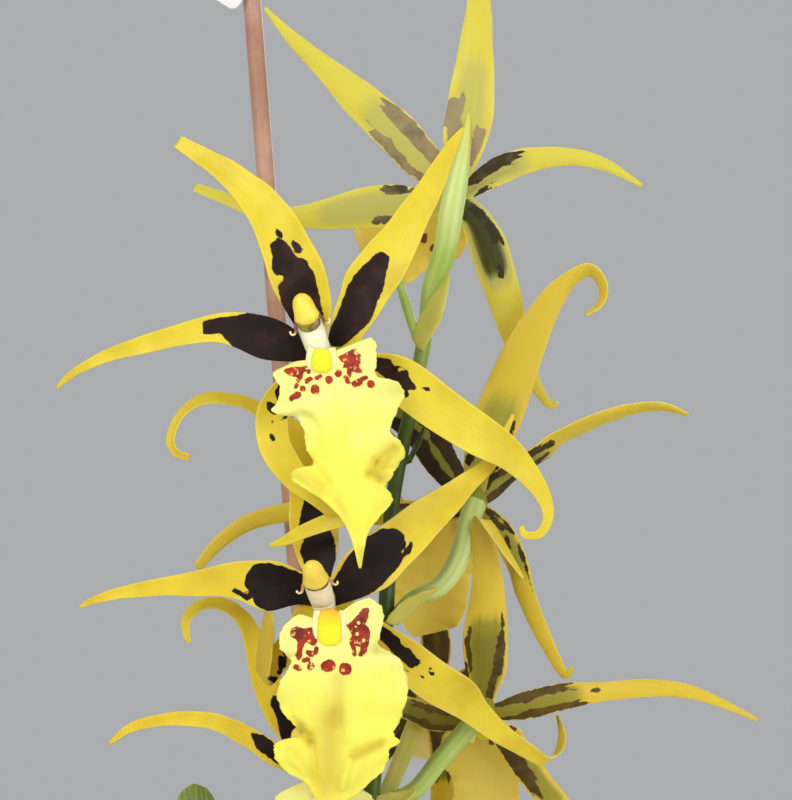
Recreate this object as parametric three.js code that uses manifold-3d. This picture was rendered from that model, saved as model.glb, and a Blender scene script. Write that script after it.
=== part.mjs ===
// An orchid in flower in its pot: a spike of seven spidery blooms on a stake, four pseudobulbs,
// strap leaves, bark mix and a clay pot. Millimetres, +Z up, origin under the middle of the pot.
// The spike is seen best along +Y.

import * as THREE from 'three';
import Module from 'manifold-3d';
import { mergeVertices } from 'three/addons/utils/BufferGeometryUtils.js';

// The flowers' places are written as they look from an eye point in front of the stem: x and z
// where the line of sight meets the plane of the stem (Y = 0), and the real depth along +Y.
const EYE_DISTANCE = 550;
const EYE_X = 9;
const EYE_Z = 480;

// Pot and bark mix
const POT_HEIGHT = 124;
const POT_BASE_RADIUS = 47;
const POT_NECK_RADIUS = 65.5;
const POT_RIM_RADIUS = 70;
const POT_RIM_HEIGHT = 18;
const POT_WALL = 5;
const POT_FLOOR = 6;
const POT_SIDES = 28;
const DRAIN_HOLES = 4;
const DRAIN_RADIUS = 5;
const DRAIN_CIRCLE = 28;
const BARK_TOP = 109;
const BARK_CROWN = 4;
const BARK_CHIPS = 26;
const CHIP_LONG = [13, 20];
const CHIP_WIDE = [9, 13];
const CHIP_THICK = [5, 7];
const CHIP_TILT = 0.7;
const CHIP_MARGIN = 11.5;
const GOLDEN_ANGLE = Math.PI * (3 - Math.sqrt(5));
const SEAT_GAP = 0.4;
const MERGE_TOLERANCE = 0.08;

// Petals, lips and leaves
const PETAL_THICKNESS = 0.7;
const LEAF_THICKNESS = 1.1;
const HUB_RADIUS = 3.2;
const HUB_HEIGHT = 4;
const PETAL_SPANS = 9;
const CURLED_PETAL_SPANS = 15;
const PETAL_CHANNEL = 0.18;
const PETAL_TIP_WIDTH = 0.8;
const LIP_WAVE = 0.5;
const LIP_COLUMNS = [-1, -0.5, 0, 0.5, 1];
const LOBED_LIP_ROWS = 16;
const LOBED_LIP_COLUMNS = [-1, -0.62, -0.3, 0, 0.3, 0.62, 1];

// Stake, tie and tag
const STAKE_RADIUS = 2.35;
const STAKE_FOOT = new THREE.Vector3(16.6, -0.2, 25);
const STAKE_HEAD = new THREE.Vector3(-30, 18.7, 606);
const TIE_HEIGHT = 290;
const TIE_WALL = 1.1;
const TIE_BAND = 7;
const TAG_WIDTH = 15;
const TAG_LENGTH = 42;
const TAG_THICKNESS = 0.8;
const TAG_TILT = THREE.MathUtils.degToRad(32);
const TAG_SHIFT = 2.3;
const TAG_DROP = 3;
const TAG_BAND = 6;

const COLOURS = {
  petal: 0xe2c736,
  lip: 0xfff35c,
  column: 0xfff3b0,
  stem: 0x7f9a3c,
  leaf: 0x4f7a2c,
  bulb: 0x7d9442,
  bark: 0x6b4428,
  clay: 0xb5674a,
  cane: 0xb58a72,
  tag: 0xf4f4f0,
  tie: 0x3c5a34,
};

const wasm = await Module();
wasm.setup();

const orchid = new THREE.Group();

// Numbers and places

function seeded(seed) {
  let state = seed;
  return () => {
    state = (state * 16807) % 2147483647;
    return state / 2147483647;
  };
}

function seen(x, z, depth) {
  const scale = (EYE_DISTANCE + depth) / EYE_DISTANCE;
  return new THREE.Vector3(EYE_X + (x - EYE_X) * scale, depth, EYE_Z + (z - EYE_Z) * scale);
}

function blend(before, start, end, after, u) {
  const linear = end - before;
  const square = 2 * before - 5 * start + 4 * end - after;
  const cube = 3 * start - before - 3 * end + after;
  return start + 0.5 * u * (linear + u * (square + u * cube));
}

// A smooth run through rows of numbers, cut into the given number of equal spans.
function smoothRows(rows, spans) {
  const last = rows.length - 1;
  const full = rows.map((row) => [...row, 0, 0, 0].slice(0, 6));
  return Array.from({ length: spans + 1 }, (_, k) => {
    const place = (k / spans) * last;
    const i = Math.min(Math.floor(place), last - 1);
    const four = [Math.max(i - 1, 0), i, i + 1, Math.min(i + 2, last)].map((n) => full[n]);
    return four[1].map((_, c) => blend(four[0][c], four[1][c], four[2][c], four[3][c], place - i));
  });
}

// Directions along a path: each frame is the last one turned by the least angle.
function pathFrames(points, firstSide) {
  const tangents = points.map((_, i) => {
    const ahead = points[Math.min(i + 1, points.length - 1)];
    const behind = points[Math.max(i - 1, 0)];
    return ahead.clone().sub(behind).normalize();
  });
  let side = firstSide ?? tangents[0].clone().cross(new THREE.Vector3(0, 1, 0));
  return tangents.map((tangent, i) => {
    if (i > 0) {
      side = side.applyQuaternion(new THREE.Quaternion().setFromUnitVectors(tangents[i - 1], tangent));
    }
    side = side.clone().addScaledVector(tangent, -side.dot(tangent)).normalize();
    return { tangent, side, face: tangent.clone().cross(side) };
  });
}

// Closed shapes

function closedGeometry(points, triangles) {
  const geometry = new THREE.BufferGeometry();
  geometry.setAttribute('position', new THREE.Float32BufferAttribute(points.flatMap((p) => p.toArray()), 3));
  geometry.setIndex(triangles.flat());
  return geometry;
}

function solid(geometry) {
  const bare = geometry.clone();
  bare.deleteAttribute('normal');
  bare.deleteAttribute('uv');
  const merged = mergeVertices(bare, 1e-4);
  return new wasm.Manifold(new wasm.Mesh({
    numProp: 3,
    vertProperties: new Float32Array(merged.attributes.position.array),
    triVerts: new Uint32Array(merged.index.array),
  }));
}

function fuse(solids) {
  return solids.reduce((whole, next) => whole.add(next)).simplify(MERGE_TOLERANCE);
}

// A thin sheet over a grid of points, thickened evenly along the grid's own directions.
function sheet(grid, faces, thickness) {
  const columns = grid[0].length;
  const rows = grid.length;
  const lift = (sign) => grid.flatMap((row, i) => row.map((point, j) => (
    point.clone().addScaledVector(faces[i][j], sign * thickness / 2))));
  const points = [...lift(1), ...lift(-1)];
  const back = rows * columns;
  const at = (i, j) => i * columns + j;
  const triangles = [];
  for (let i = 0; i < rows - 1; i += 1) {
    for (let j = 0; j < columns - 1; j += 1) {
      const [a, b, c, d] = [at(i, j), at(i, j + 1), at(i + 1, j + 1), at(i + 1, j)];
      triangles.push([a, c, b], [a, d, c]);
      triangles.push([a + back, b + back, c + back], [a + back, c + back, d + back]);
    }
  }
  const rim = [];
  for (let j = 0; j < columns - 1; j += 1) rim.push(at(0, j));
  for (let i = 0; i < rows - 1; i += 1) rim.push(at(i, columns - 1));
  for (let j = columns - 1; j > 0; j -= 1) rim.push(at(rows - 1, j));
  for (let i = rows - 1; i > 0; i -= 1) rim.push(at(i, 0));
  rim.forEach((from, k) => {
    const to = rim[(k + 1) % rim.length];
    triangles.push([from, to, to + back], [from, to + back, from + back]);
  });
  return closedGeometry(points, triangles);
}

// A channelled strip along a path. Each station holds a point, a width, a twist and a channel,
// the rise of the edges over half the width.
function ribbon(stations, thickness, firstSide) {
  const frames = pathFrames(stations.map(({ point }) => point), firstSide);
  const across = [-1, 0, 1];
  const faces = [];
  const grid = stations.map(({ point, width, twist, channel }, i) => {
    const { tangent, side, face } = frames[i];
    const turn = new THREE.Quaternion().setFromAxisAngle(tangent, THREE.MathUtils.degToRad(twist));
    const flat = side.clone().applyQuaternion(turn);
    const up = face.clone().applyQuaternion(turn);
    faces.push(across.map((s) => up.clone().addScaledVector(flat, -s * channel).normalize()));
    return across.map((s) => point.clone()
      .addScaledVector(flat, (s * width) / 2)
      .addScaledVector(up, (s * s * channel * width) / 2));
  });
  return solid(sheet(grid, faces, thickness));
}

// A narrow blade of a bloom. Each row holds x, z, depth, width and twist in degrees.
function petal(rows, front, spans = PETAL_SPANS) {
  const stations = smoothRows(rows, spans).map(([x, z, depth, width, twist]) => ({
    point: seen(x, z, depth),
    width: Math.max(width, PETAL_TIP_WIDTH),
    twist,
    channel: PETAL_CHANNEL * front,
  }));
  return ribbon(stations, PETAL_THICKNESS);
}

// A broad waved blade. Each row holds x, z, depth, left width, right width, rise of its edges and
// slope, by which the row climbs from left to right.
function lipBlade(rows, front) {
  const points = rows.map(([x, z, depth]) => seen(x, z, depth));
  const frames = pathFrames(points);
  const across = rows.length > LOBED_LIP_ROWS ? LOBED_LIP_COLUMNS : LIP_COLUMNS;
  const grid = rows.map(([, , , left, right, rise = 0, slope = 0], i) => {
    const { side, face } = frames[i];
    const wave = LIP_WAVE * Math.cos(i * 2) * Math.min(1, left / 6);
    return across.map((s) => {
      const reach = s * (s < 0 ? left : right);
      return points[i].clone()
        .addScaledVector(side, reach)
        .addScaledVector(face, front * s * s * (rise + wave))
        .add(new THREE.Vector3(0, 0, slope * reach));
    });
  });
  const faces = grid.map((row, i) => row.map(() => frames[i].face));
  return solid(sheet(grid, faces, PETAL_THICKNESS));
}

// A round or oval rod. Each row holds a point and the half sizes across and deep.
function rod(rows, sides, firstSide) {
  const centres = rows.map(([point]) => point);
  const frames = pathFrames(centres, firstSide);
  const points = rows.flatMap(([point, wide, deep], i) => (
    Array.from({ length: sides }, (_, k) => {
      const angle = (2 * Math.PI * k) / sides;
      return point.clone()
        .addScaledVector(frames[i].side, wide * Math.cos(angle))
        .addScaledVector(frames[i].face, (deep ?? wide) * Math.sin(angle));
    })));
  const foot = points.length;
  const head = foot + 1;
  points.push(centres[0].clone(), centres[centres.length - 1].clone());
  const triangles = [];
  for (let k = 0; k < sides; k += 1) {
    const next = (k + 1) % sides;
    triangles.push([foot, next, k]);
    const top = (rows.length - 1) * sides;
    triangles.push([head, top + k, top + next]);
    for (let i = 0; i < rows.length - 1; i += 1) {
      const low = i * sides;
      const high = low + sides;
      triangles.push([low + k, low + next, high + next], [low + k, high + next, high + k]);
    }
  }
  return solid(closedGeometry(points, triangles));
}

function ellipsoid(centre, sizes, across = 8, high = 5) {
  const ball = new THREE.SphereGeometry(1, across, high);
  ball.rotateX(Math.PI / 2);
  ball.scale(...sizes);
  ball.translate(centre.x, centre.y, centre.z);
  return solid(ball);
}

function place(name, manifold, colour, roughness = 0.5) {
  const cut = manifold.getMesh();
  const geometry = new THREE.BufferGeometry();
  geometry.setAttribute('position', new THREE.BufferAttribute(new Float32Array(cut.vertProperties), 3));
  geometry.setIndex(new THREE.BufferAttribute(new Uint32Array(cut.triVerts), 1));
  geometry.computeVertexNormals();
  const material = new THREE.MeshStandardMaterial({ color: colour, roughness, metalness: 0 });
  const mesh = new THREE.Mesh(geometry, material);
  mesh.name = name;
  orchid.add(mesh);
}

// Blooms. A petal's rows are x, z, depth, width, twist; a lip's are x, z, depth, left, right,
// rise, slope. front is 1 for a bloom that faces the eye point and -1 for one that faces away.

const BLOOMS = {
  // Upper bloom, facing the eye point
  a: {
    hub: [-10, 492, -19],
    front: 1,
    up: [-0.32, 0, 0.95],
    callus: [2.4, 2.5, 3.5],
    node: [11, 466, 0],
    petals: [
      [
        [-11, 495.5, -20, 5.5], [-13, 503.8, -21.5, 11.5], [-16.3, 513, -22.5, 13],
        [-20, 521.3, -22, 11], [-24.5, 528.8, -20.5, 9], [-30, 534.3, -18.5, 7.2],
        [-35.5, 538.5, -16, 5.5], [-40.5, 541.5, -13.5, 4.4], [-45.5, 544.5, -11.5, 3.2],
      ],
      [
        [-13.8, 492.5, -20, 6], [-23.8, 495.5, -22, 10], [-33.8, 498, -23, 7.5],
        [-42.5, 496.8, -23, 5.5], [-52.5, 494.3, -21.5, 4.5], [-62.5, 491.3, -19, 3],
        [-71.3, 487, -16, 1.8], [-75.8, 483, -14, 0.8],
      ],
      [
        [-5.5, 493.8, -20, 6.3], [-1.3, 501.3, -22, 10], [2.5, 508.8, -23, 12],
        [7.5, 516.3, -23, 11.3], [12.5, 524.5, -21.5, 8.3], [18, 533.8, -19, 6],
        [22.5, 542.5, -16.5, 3.3], [25.8, 548, -14.5, 0.8],
      ],
      [
        [-5, 490.5, -20, 5], [1.3, 488, -21.5, 7.5], [10, 485, -22, 10.8], [20, 477.5, -20.5, 11],
        [30, 471.3, -18, 10], [38.8, 465, -15, 7], [45, 457.5, -12, 4.3], [47, 451.3, -10, 2.8],
        [45, 446.8, -9, 2.3], [41.3, 446.3, -9.5, 1.8], [40.3, 448.5, -10.5, 1.2],
      ],
      [
        [-13, 488.8, -19.5, 5.5], [-18, 482.5, -20, 7], [-21.8, 476.3, -20.5, 8],
        [-21.3, 468.8, -21, 7.5], [-17, 462, -21.5, 7, 20], [-12, 457, -22, 5.5, 35],
        [-7.5, 453, -22.5, 5, 50], [-4.8, 450.6, -22, 4.5, 64], [-8.8, 449.2, -21, 4, 60],
        [-15, 446.8, -20.5, 3.2, 50], [-18.8, 444.8, -20, 2.2, 40], [-22.5, 443.5, -19.5, 1, 30],
      ],
    ],
    lip: [
      [-9.6, 491, -27.9, 9.5, 11.5, 0.8, 0.35], [-9.2, 489.6, -28.3, 11.6, 12.4, 1.8, 0.34],
      [-8.6, 487.2, -28.7, 12.2, 12.1, 2, 0.33], [-8, 484.6, -29, 11.4, 11.4, 1.8, 0.3],
      [-7.4, 482.6, -29.1, 12.4, 11.1, 1.2, 0.27], [-7, 481.2, -29.1, 14.3, 14.5, 0.6, 0.25],
      [-6.5, 479.4, -29, 12.9, 16.2, 0, 0.22], [-5.9, 477.6, -28.8, 10, 16, -0.3, 0.18],
      [-5.1, 474.6, -28.4, 8.8, 13.4, -0.6, 0.15], [-4.2, 471, -28, 9.1, 11.2, -0.9, 0.1],
      [-3.6, 468.4, -28, 9.4, 13.4, -1, 0.05], [-3.3, 466.4, -28, 8.9, 13.8, -1],
      [-3, 464, -28.1, 8.3, 12, -1], [-2.9, 462.6, -28.4, 12.9, 11.2, -1],
      [-2.9, 460.4, -28.8, 13.5, 10, -1], [-2.9, 458.4, -29.1, 11.2, 8.6, -1],
      [-2.8, 456, -29.4, 7.6, 10.3, -0.8], [-2.5, 453.4, -29.5, 4.8, 9.3, -0.5],
      [-1.9, 450, -29.5, 2.4, 5.8], [-1.2, 446.5, -29.3, 1.4, 3], [-0.5, 442.5, -29, 0.8, 1.5],
      [0, 438, -28.5, 0.3, 0.3],
    ],
  },
  // Lower bloom, facing the eye point
  b: {
    hub: [-9, 430, -19],
    front: 1,
    up: [-0.23, 0, 0.97],
    lean: 42,
    callus: [6.6, 2.9, 4.4],
    node: [7.5, 405, 0],
    petals: [
      [
        [-10, 435, -18.5, 5.5], [-10.8, 441.3, -16, 10], [-11.3, 448.8, -13.5, 11.5],
        [-12, 456.3, -11.5, 11], [-13.3, 463.8, -10, 9], [-15.8, 470, -9, 6.5, 10],
        [-19.5, 474.5, -8.5, 5, 25], [-24.5, 477, -8, 4.5, 38], [-30, 479.5, -8, 4.5, 45],
        [-38.8, 480, -9, 4.5, 52], [-44.5, 476.3, -9.5, 4.3, 58], [-47, 470.5, -10, 4, 62],
        [-45.8, 467, -10.5, 3, 62], [-42.5, 465.8, -11, 1.5, 50],
      ],
      [
        [-13.8, 432.5, -20, 7], [-22.5, 433.8, -22, 12], [-31.3, 435, -23, 9],
        [-40, 434.3, -22.5, 6.3], [-50, 433.3, -21, 4.3], [-60, 431.8, -18.5, 2.8],
        [-66.3, 430, -16.5, 1.8], [-70, 428.3, -15, 0.8],
      ],
      [
        [-5.5, 432.5, -20, 7], [1.3, 437.5, -21.5, 12], [8.8, 443.8, -21, 11.5],
        [17.5, 451.3, -18, 9], [26.3, 458.8, -13, 5.5], [32.5, 464.5, -8.5, 3.2],
        [36.3, 472, -5, 1.8], [38.3, 476.3, -3.5, 0.8],
      ],
      [
        [-4, 428, -20, 5.5], [4.5, 421.5, -21, 6.5], [10.8, 416.3, -20, 9], [18.3, 410, -17, 10.5],
        [25, 405.8, -13, 9.5], [29.5, 401.5, -9.5, 6.8], [35.8, 396.3, -5, 5],
        [42.5, 392, -1, 4.2, 15], [46.5, 390, 1.5, 4, 35], [49.5, 392.5, 4, 4, 50],
        [50.3, 396.3, 6, 3, 50], [49.3, 401, 8, 1.3, 30],
      ],
      [
        [-13, 427.5, -19.5, 5], [-16.5, 421, -19, 5.5], [-20, 416, -19, 6],
        [-23, 412.3, -19.8, 6], [-24.6, 410.6, -21.6, 6], [-24.5, 412.5, -23.2, 6],
        [-24.2, 417, -24, 6], [-23.6, 422, -24.2, 5.5], [-23, 427, -24, 3.5],
      ],
    ],
    lip: [
      [-7.6, 428.6, -28.7, 7.5, 9.6, 0.4, 0.2], [-7.5, 426, -28.9, 10.6, 12, 1.4, 0.2],
      [-7.4, 423.6, -29.2, 11.9, 12.6, 2, 0.18], [-7.4, 420.4, -29.3, 11.9, 12, 1.8, 0.15],
      [-7.3, 417.8, -29.3, 10.6, 11.2, 1.2, 0.12], [-7.2, 415.6, -29.2, 9.5, 13.8, 0.6, 0.1],
      [-7.1, 413.4, -29, 10.6, 16.2, 0.2, 0.1], [-7, 410.4, -28.8, 12.4, 17.3, -0.4, 0.08],
      [-6.9, 406.6, -28.4, 13.2, 18, -1, 0.05], [-6.8, 402.6, -28.1, 12.2, 17, -1.2, 0.03],
      [-6.7, 399.2, -28, 10, 15.6, -1.2], [-6.6, 396.4, -28.2, 7.6, 14.2, -1.1],
      [-6.6, 394.6, -28.5, 13.2, 15.8, -1], [-6.6, 392.6, -28.8, 14.2, 13.3, -1],
      [-6.7, 390, -29.2, 13.5, 13, -1], [-6.9, 387, -29.6, 10.8, 11.8, -0.8],
      [-7.1, 384.4, -29.9, 6.2, 9, -0.4], [-7.5, 382, -30, 4.3, 7], [-8, 380, -30, 2.6, 4],
      [-8.7, 378, -30, 0.5, 0.5],
    ],
  },
  // Topmost bloom, seen from behind
  c: {
    hub: [23.8, 532.5, 5],
    front: -1,
    up: [0.1, 0, 0.99],
    node: [16.2, 496, 0.5],
    pedicel: [[18, 507.5, 0, 2.6], [21.2, 517.5, -1, 2.9], [23, 528, -1.2, 3]],
    petals: [
      [
        [25, 536, 5, 5], [26.3, 545, 4, 11], [27.5, 552.5, 3.5, 11.8], [28.5, 562.5, 4, 10],
        [29.3, 572.5, 6, 7.8], [29.8, 580, 8.5, 5.8], [30, 590, 12.5, 3.8], [29.5, 599, 17, 2],
        [28, 605, 20, 0.8],
      ],
      [
        [21.5, 534.5, 5, 6], [15, 540.5, 5, 10], [8, 548, 4, 10.5], [-1, 556, 3, 9],
        [-8, 562.5, 2, 6], [-16.5, 570, 0, 3.5], [-23.8, 578, -2, 0.8],
      ],
      [
        [26.5, 532.5, 5, 4.5], [35, 537.5, 5.5, 7], [42.5, 540, 5, 6], [52.5, 540.8, 4, 4.3],
        [61.3, 538.8, 2.5, 3], [70.5, 533.5, 0, 0.8],
      ],
      [
        [21.5, 531, 6, 5.5], [17.5, 528.8, 6.5, 7], [7.5, 528.8, 7, 10.5], [-2.5, 527.5, 7, 9.5],
        [-15, 525.8, 6.5, 5.5], [-25, 527, 6, 4, 20], [-32.5, 530, 5.5, 3.6, 35],
        [-41.3, 533.3, 5, 2.6, 35],
      ],
      [
        [25.5, 529.5, 6, 5], [29.5, 524, 8, 8], [32.5, 517.5, 10, 10], [36.3, 505, 13, 8.5],
        [40, 492.5, 15, 6], [43.8, 483.8, 16, 3.3], [47.5, 478.8, 16, 2], [49.5, 479.5, 15.5, 0.8],
      ],
    ],
    lip: [
      [23, 531, 13.45, 3, 4], [19.5, 527, 17, 9, 10, 1], [16, 523.5, 20, 10, 12, 1.5],
      [12, 521, 22, 9, 10, 0.5], [8, 519, 24, 9, 11, -0.5], [4, 517.5, 26, 8, 9, -1],
      [1.5, 517, 29, 6, 6, -0.5], [0.5, 516.5, 33, 0.8, 0.8],
    ],
  },
  // Middle bloom on the right, seen from behind
  d: {
    hub: [28.8, 454.3, 9],
    front: -1,
    up: [0.3, 0, 0.95],
    node: [8.7, 426, 0],
    pedicel: [[13, 430, 0, 2], [20, 433.5, 0.5, 2.3], [24.5, 440, 1.5, 2.5], [27, 448.5, 3, 2.6]],
    petals: [
      [
        [28.8, 457, 9, 5.5], [31.3, 467.5, 8, 10.5], [35.8, 478.8, 7, 12], [40.5, 491.3, 6.5, 10],
        [46.8, 503.3, 6, 6.8], [52.5, 510, 6, 4.5, 20], [57.5, 512.3, 6, 4, 40],
        [60.5, 508.3, 5.5, 4, 50], [59.8, 504, 5, 3, 50], [56.3, 501.3, 4.5, 1, 40],
      ],
      [
        [26.5, 456.5, 9.5, 5], [20, 465, 9, 9], [16.3, 471.3, 8.5, 9.5], [11.3, 475.5, 8, 8.5],
        [3, 481, 7, 6.5], [-5, 486, 6.5, 4], [-12, 490, 6, 1.2],
      ],
      [
        [30.5, 455.8, 9.5, 4.5], [37.5, 461.3, 9, 7, 45], [45, 466.3, 8, 7.5, 52],
        [50, 470, 7, 7.2, 54], [57.5, 473.8, 5.5, 6, 50], [66.3, 477, 3.5, 4.5, 45],
        [75, 478.3, 1.5, 3, 40], [82, 476.3, 0, 1, 30],
      ],
      [
        [30, 452.5, 10, 4], [35, 447.5, 10.5, 5.8], [38.8, 440, 11, 6, 15], [41.3, 431.3, 11, 5.2, 20],
        [45, 422.5, 10.5, 4.4, 25], [48.8, 415, 10, 3.2, 25], [51.3, 411.3, 9.5, 2.2, 20],
        [53.3, 413, 9, 0.8],
      ],
      [
        [26.5, 453, 9.5, 4.5], [17, 451.5, 8, 6.5], [5, 452, 6.5, 6.5], [-7, 452.8, 5.5, 6],
        [-17.5, 452, 5, 4.8], [-27.5, 449.5, 4.5, 4.2], [-35, 444.5, 4, 3.4], [-40.8, 438, 3, 2.2],
      ],
    ],
    lip: [
      [28, 452, 17.35, 3, 3], [25.5, 448, 19, 12, 10, 1.5], [23, 444, 19.5, 12.5, 10, 1.5],
      [21, 440, 20, 8, 8, 0.5], [19, 435, 20.5, 9, 9, -0.5], [17, 430, 20.5, 10, 10, -1],
      [15, 425.5, 20.5, 7, 8, -0.5], [13.5, 421, 20.5, 0.8, 0.8],
    ],
  },
  // Lower bloom on the right, seen from behind
  e: {
    hub: [31, 402.5, 8],
    front: -1,
    up: [0.05, 0, 1],
    node: [2.5, 380, 0],
    pedicel: [[7, 380, 0, 2], [13.8, 382.5, 0, 2.3], [20, 390, 0.8, 2.4], [27, 398, 2.2, 2.5]],
    petals: [
      [
        [31, 405.5, 7, 5.5], [31.5, 412.5, 5.5, 10], [31.5, 420, 4, 11.5], [32, 430, 2, 9],
        [31.8, 437.5, 0.5, 7], [30.8, 445, -1, 5.8], [30.4, 449.6, -2.4, 4.8],
        [31.6, 449, -4.2, 4.4], [35, 443.8, -4.8, 4], [38, 439.5, -4.4, 2.5], [40.8, 435.5, -4, 0.8],
      ],
      [
        [28.5, 404.5, 8, 4.5], [21, 408, 8, 7], [14, 411.5, 7.5, 7], [6, 414.5, 7, 5],
        [-2, 417.5, 6.5, 3.5], [-10, 419.5, 6.5, 1],
      ],
      [
        [33, 402, 7, 3.5], [40, 403.3, 5, 6.5], [50, 405.8, 2, 6.8], [60, 407, 0, 4.8],
        [72.5, 408, -2, 4.3], [82.5, 407, -3, 3.3], [91.3, 403.8, -3.5, 2], [99.3, 400, -4, 0.8],
      ],
      [
        [32.5, 400, 9.5, 4], [38.8, 392, 11, 7], [45, 383.8, 12, 7], [50, 378, 12, 6],
        [56, 368, 11, 4], [60, 358, 9.5, 2.3], [62, 350, 8, 0.8],
      ],
      [
        [28.5, 400.5, 8.5, 4.5], [20, 400, 9, 6.5], [13, 402.5, 8.5, 6], [5, 405.5, 7.5, 4.5],
        [-2, 408.5, 7, 3], [-8, 411, 6.5, 1],
      ],
    ],
    lip: [
      [31, 400.4, 16.1, 3, 3], [31, 396, 19, 10, 10, 1.5], [31, 391, 20, 11, 11, 1.5],
      [31.5, 386, 21, 9, 9, 0.5], [31.5, 381, 22, 8.5, 8.5, -0.5], [31.5, 375, 23, 10, 10, -1],
      [31.5, 369, 24, 11, 11, -1], [31.5, 362, 24.5, 8, 8, -0.5], [31.5, 356, 25, 3, 3],
      [31.5, 352, 25, 0.6, 0.6],
    ],
  },
  // Bloom behind the lower lip, facing the eye point
  f: {
    hub: [-9.5, 386.3, -9],
    front: 1,
    up: [-0.4, 0, 0.91],
    node: [1.2, 355, 1],
    petals: [
      [
        [-11, 390, -9.5, 5.5], [-15, 396.3, -10.5, 8.5], [-19, 402, -11.5, 9], [-23, 408.8, -12, 7.5],
        [-25.5, 416.3, -12, 5.5], [-27.5, 422, -12, 4.5, 20], [-30, 426, -12, 4, 35],
        [-34.5, 428.8, -12, 4, 45], [-39.3, 428.8, -12.5, 3.8, 52], [-43, 425.5, -13, 3.5, 58],
        [-43.3, 421.8, -13.5, 2.5, 58], [-42.5, 419.3, -14, 1.3, 50],
      ],
      [
        [-13, 388, -10, 5], [-20.8, 391.3, -11.5, 5.5], [-27.5, 395.5, -12, 5],
        [-33, 398.3, -12, 4.4], [-38.3, 400, -12, 4], [-47.5, 400.3, -11, 3.2],
        [-56.8, 398.3, -9, 2.3], [-62.8, 394, -7.5, 0.8],
      ],
      [
        [-6.5, 384.5, -10, 5], [-2, 379.5, -11, 8], [4, 372, -11.5, 9], [11, 364, -11.5, 7.5],
        [19, 357, -11, 5.5], [28, 351, -10, 3.8], [37, 347, -8, 2.2], [44, 346, -6, 0.8],
      ],
      [
        [-8.5, 382.8, -9.5, 5], [-6.5, 374, -10, 8.5], [-3.5, 364, -10.5, 9.5], [0.5, 353, -11.5, 7.5],
        [4, 342, -12.5, 5.5], [8.5, 333, -13, 3.6], [15, 327.5, -13, 2], [20, 328, -12.5, 0.8],
      ],
      [
        [-12, 383.5, -9.5, 5], [-16.5, 375.5, -10.5, 8], [-21, 366.5, -11, 9], [-26.5, 356, -11.5, 7],
        [-33, 346, -11.5, 5], [-41, 338.5, -11, 3.4], [-50, 335.5, -10, 2], [-56, 337.5, -9, 0.8],
      ],
    ],
    lip: [
      [-9.3, 385.5, -17.9, 2.5, 3, 0.5], [-9, 381.5, -18.3, 11, 11, 1.5],
      [-8.5, 377, -18.6, 12, 12, 1], [-8, 372.5, -18.6, 10, 10, 0.3], [-7.5, 367.5, -18.4, 9.5, 9.5, -0.5],
      [-7, 362.5, -18.4, 11, 11, -1], [-6.5, 357.5, -18.6, 13, 13, -1], [-6, 352.5, -19, 12, 12, -1],
      [-5.7, 348, -19.3, 8, 8, -0.5], [-5.5, 343, -19.5, 3.5, 3.5], [-5.3, 337.5, -19.5, 0.5, 0.5],
    ],
  },
  // Bloom at the back of the stem, facing away
  g: {
    hub: [16.3, 405, 20],
    front: -1,
    up: [0.1, 0, 1],
    node: [2.2, 372.5, 0],
    petals: [
      [
        [16.8, 409, 20.5, 5], [19, 416, 23.5, 7.5], [18.5, 424, 26.5, 7.5], [16.5, 432, 29.5, 6.5],
        [14, 441, 32, 5], [11.5, 450, 34.5, 3], [10, 456, 36.5, 0.8],
      ],
      [
        [13.5, 406, 20.5, 5], [6, 409, 22, 8], [-1, 411.5, 24, 7], [-7, 412.5, 27, 5],
        [-12, 412.5, 31, 3], [-15, 411.5, 35, 0.8],
      ],
      [
        [19, 405.5, 21, 5], [25, 408, 25, 7.5], [30, 411, 30, 8], [33, 413, 36, 7],
        [34.5, 414, 43, 5], [35, 414, 50, 3], [35, 413, 56, 0.8],
      ],
      [
        [18, 402.3, 21, 4.5], [20.5, 395, 26, 6.5], [21, 387.5, 31, 7], [20.5, 380, 34, 6],
        [19, 372, 35.5, 4.5], [17, 364, 36, 2.5], [16, 357, 36, 0.8],
      ],
      [
        [14, 402.5, 20.5, 4.5], [9, 397, 22, 7], [4, 391, 24, 7], [-1, 385, 25, 5.5],
        [-5, 378, 26, 4], [-8, 371, 27, 2], [-9, 366, 27.5, 0.8],
      ],
    ],
    lip: [
      [15.5, 403, 28.3, 3, 3], [14.5, 400.5, 32, 8, 6, 1], [14, 398, 35, 9, 7, 1],
      [14, 396, 39, 6, 6, 0.5], [14.5, 394.5, 43, 8, 8, -0.5], [15.5, 393, 48, 9, 9, -0.5],
      [16.5, 391.5, 53, 6, 6, -0.5], [17.5, 390, 58, 0.6, 0.6],
    ],
  },
};

const CALLUS_RISE = 1;
const CALLUS_HALF_DEPTH = 1.3;

// The column. Each row holds the distance up and forward from the hub and the half sizes across
// and deep; a wing's rows hold the distances up, forward and sideways and the width. A column
// that leans turns forward from the hub's height on, by an angle in degrees.
const COLUMN_ROWS = [
  [-4.5, 5.35, 1.4, 1.25], [-2.5, 5.62, 2.4, 1.98], [0.5, 5.92, 2.9, 2.08], [3.2, 6.8, 3.1, 2.1],
  [5.8, 7.7, 3.3, 2.2], [8, 8.5, 2.9, 2.3], [10.8, 9.2, 3, 2.5], [13, 9.6, 2.5, 2.1],
  [14.4, 9.7, 1.2, 1],
];
const WING_ROWS = [[5.4, 8, 2.6, 2], [6.4, 9.2, 4.2, 1.8], [7.6, 10.4, 5, 0.9]];
const WING_THICKNESS = 0.9;
const COLUMN_SIDES = 7;
const WING_SIDES = 4;

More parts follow.
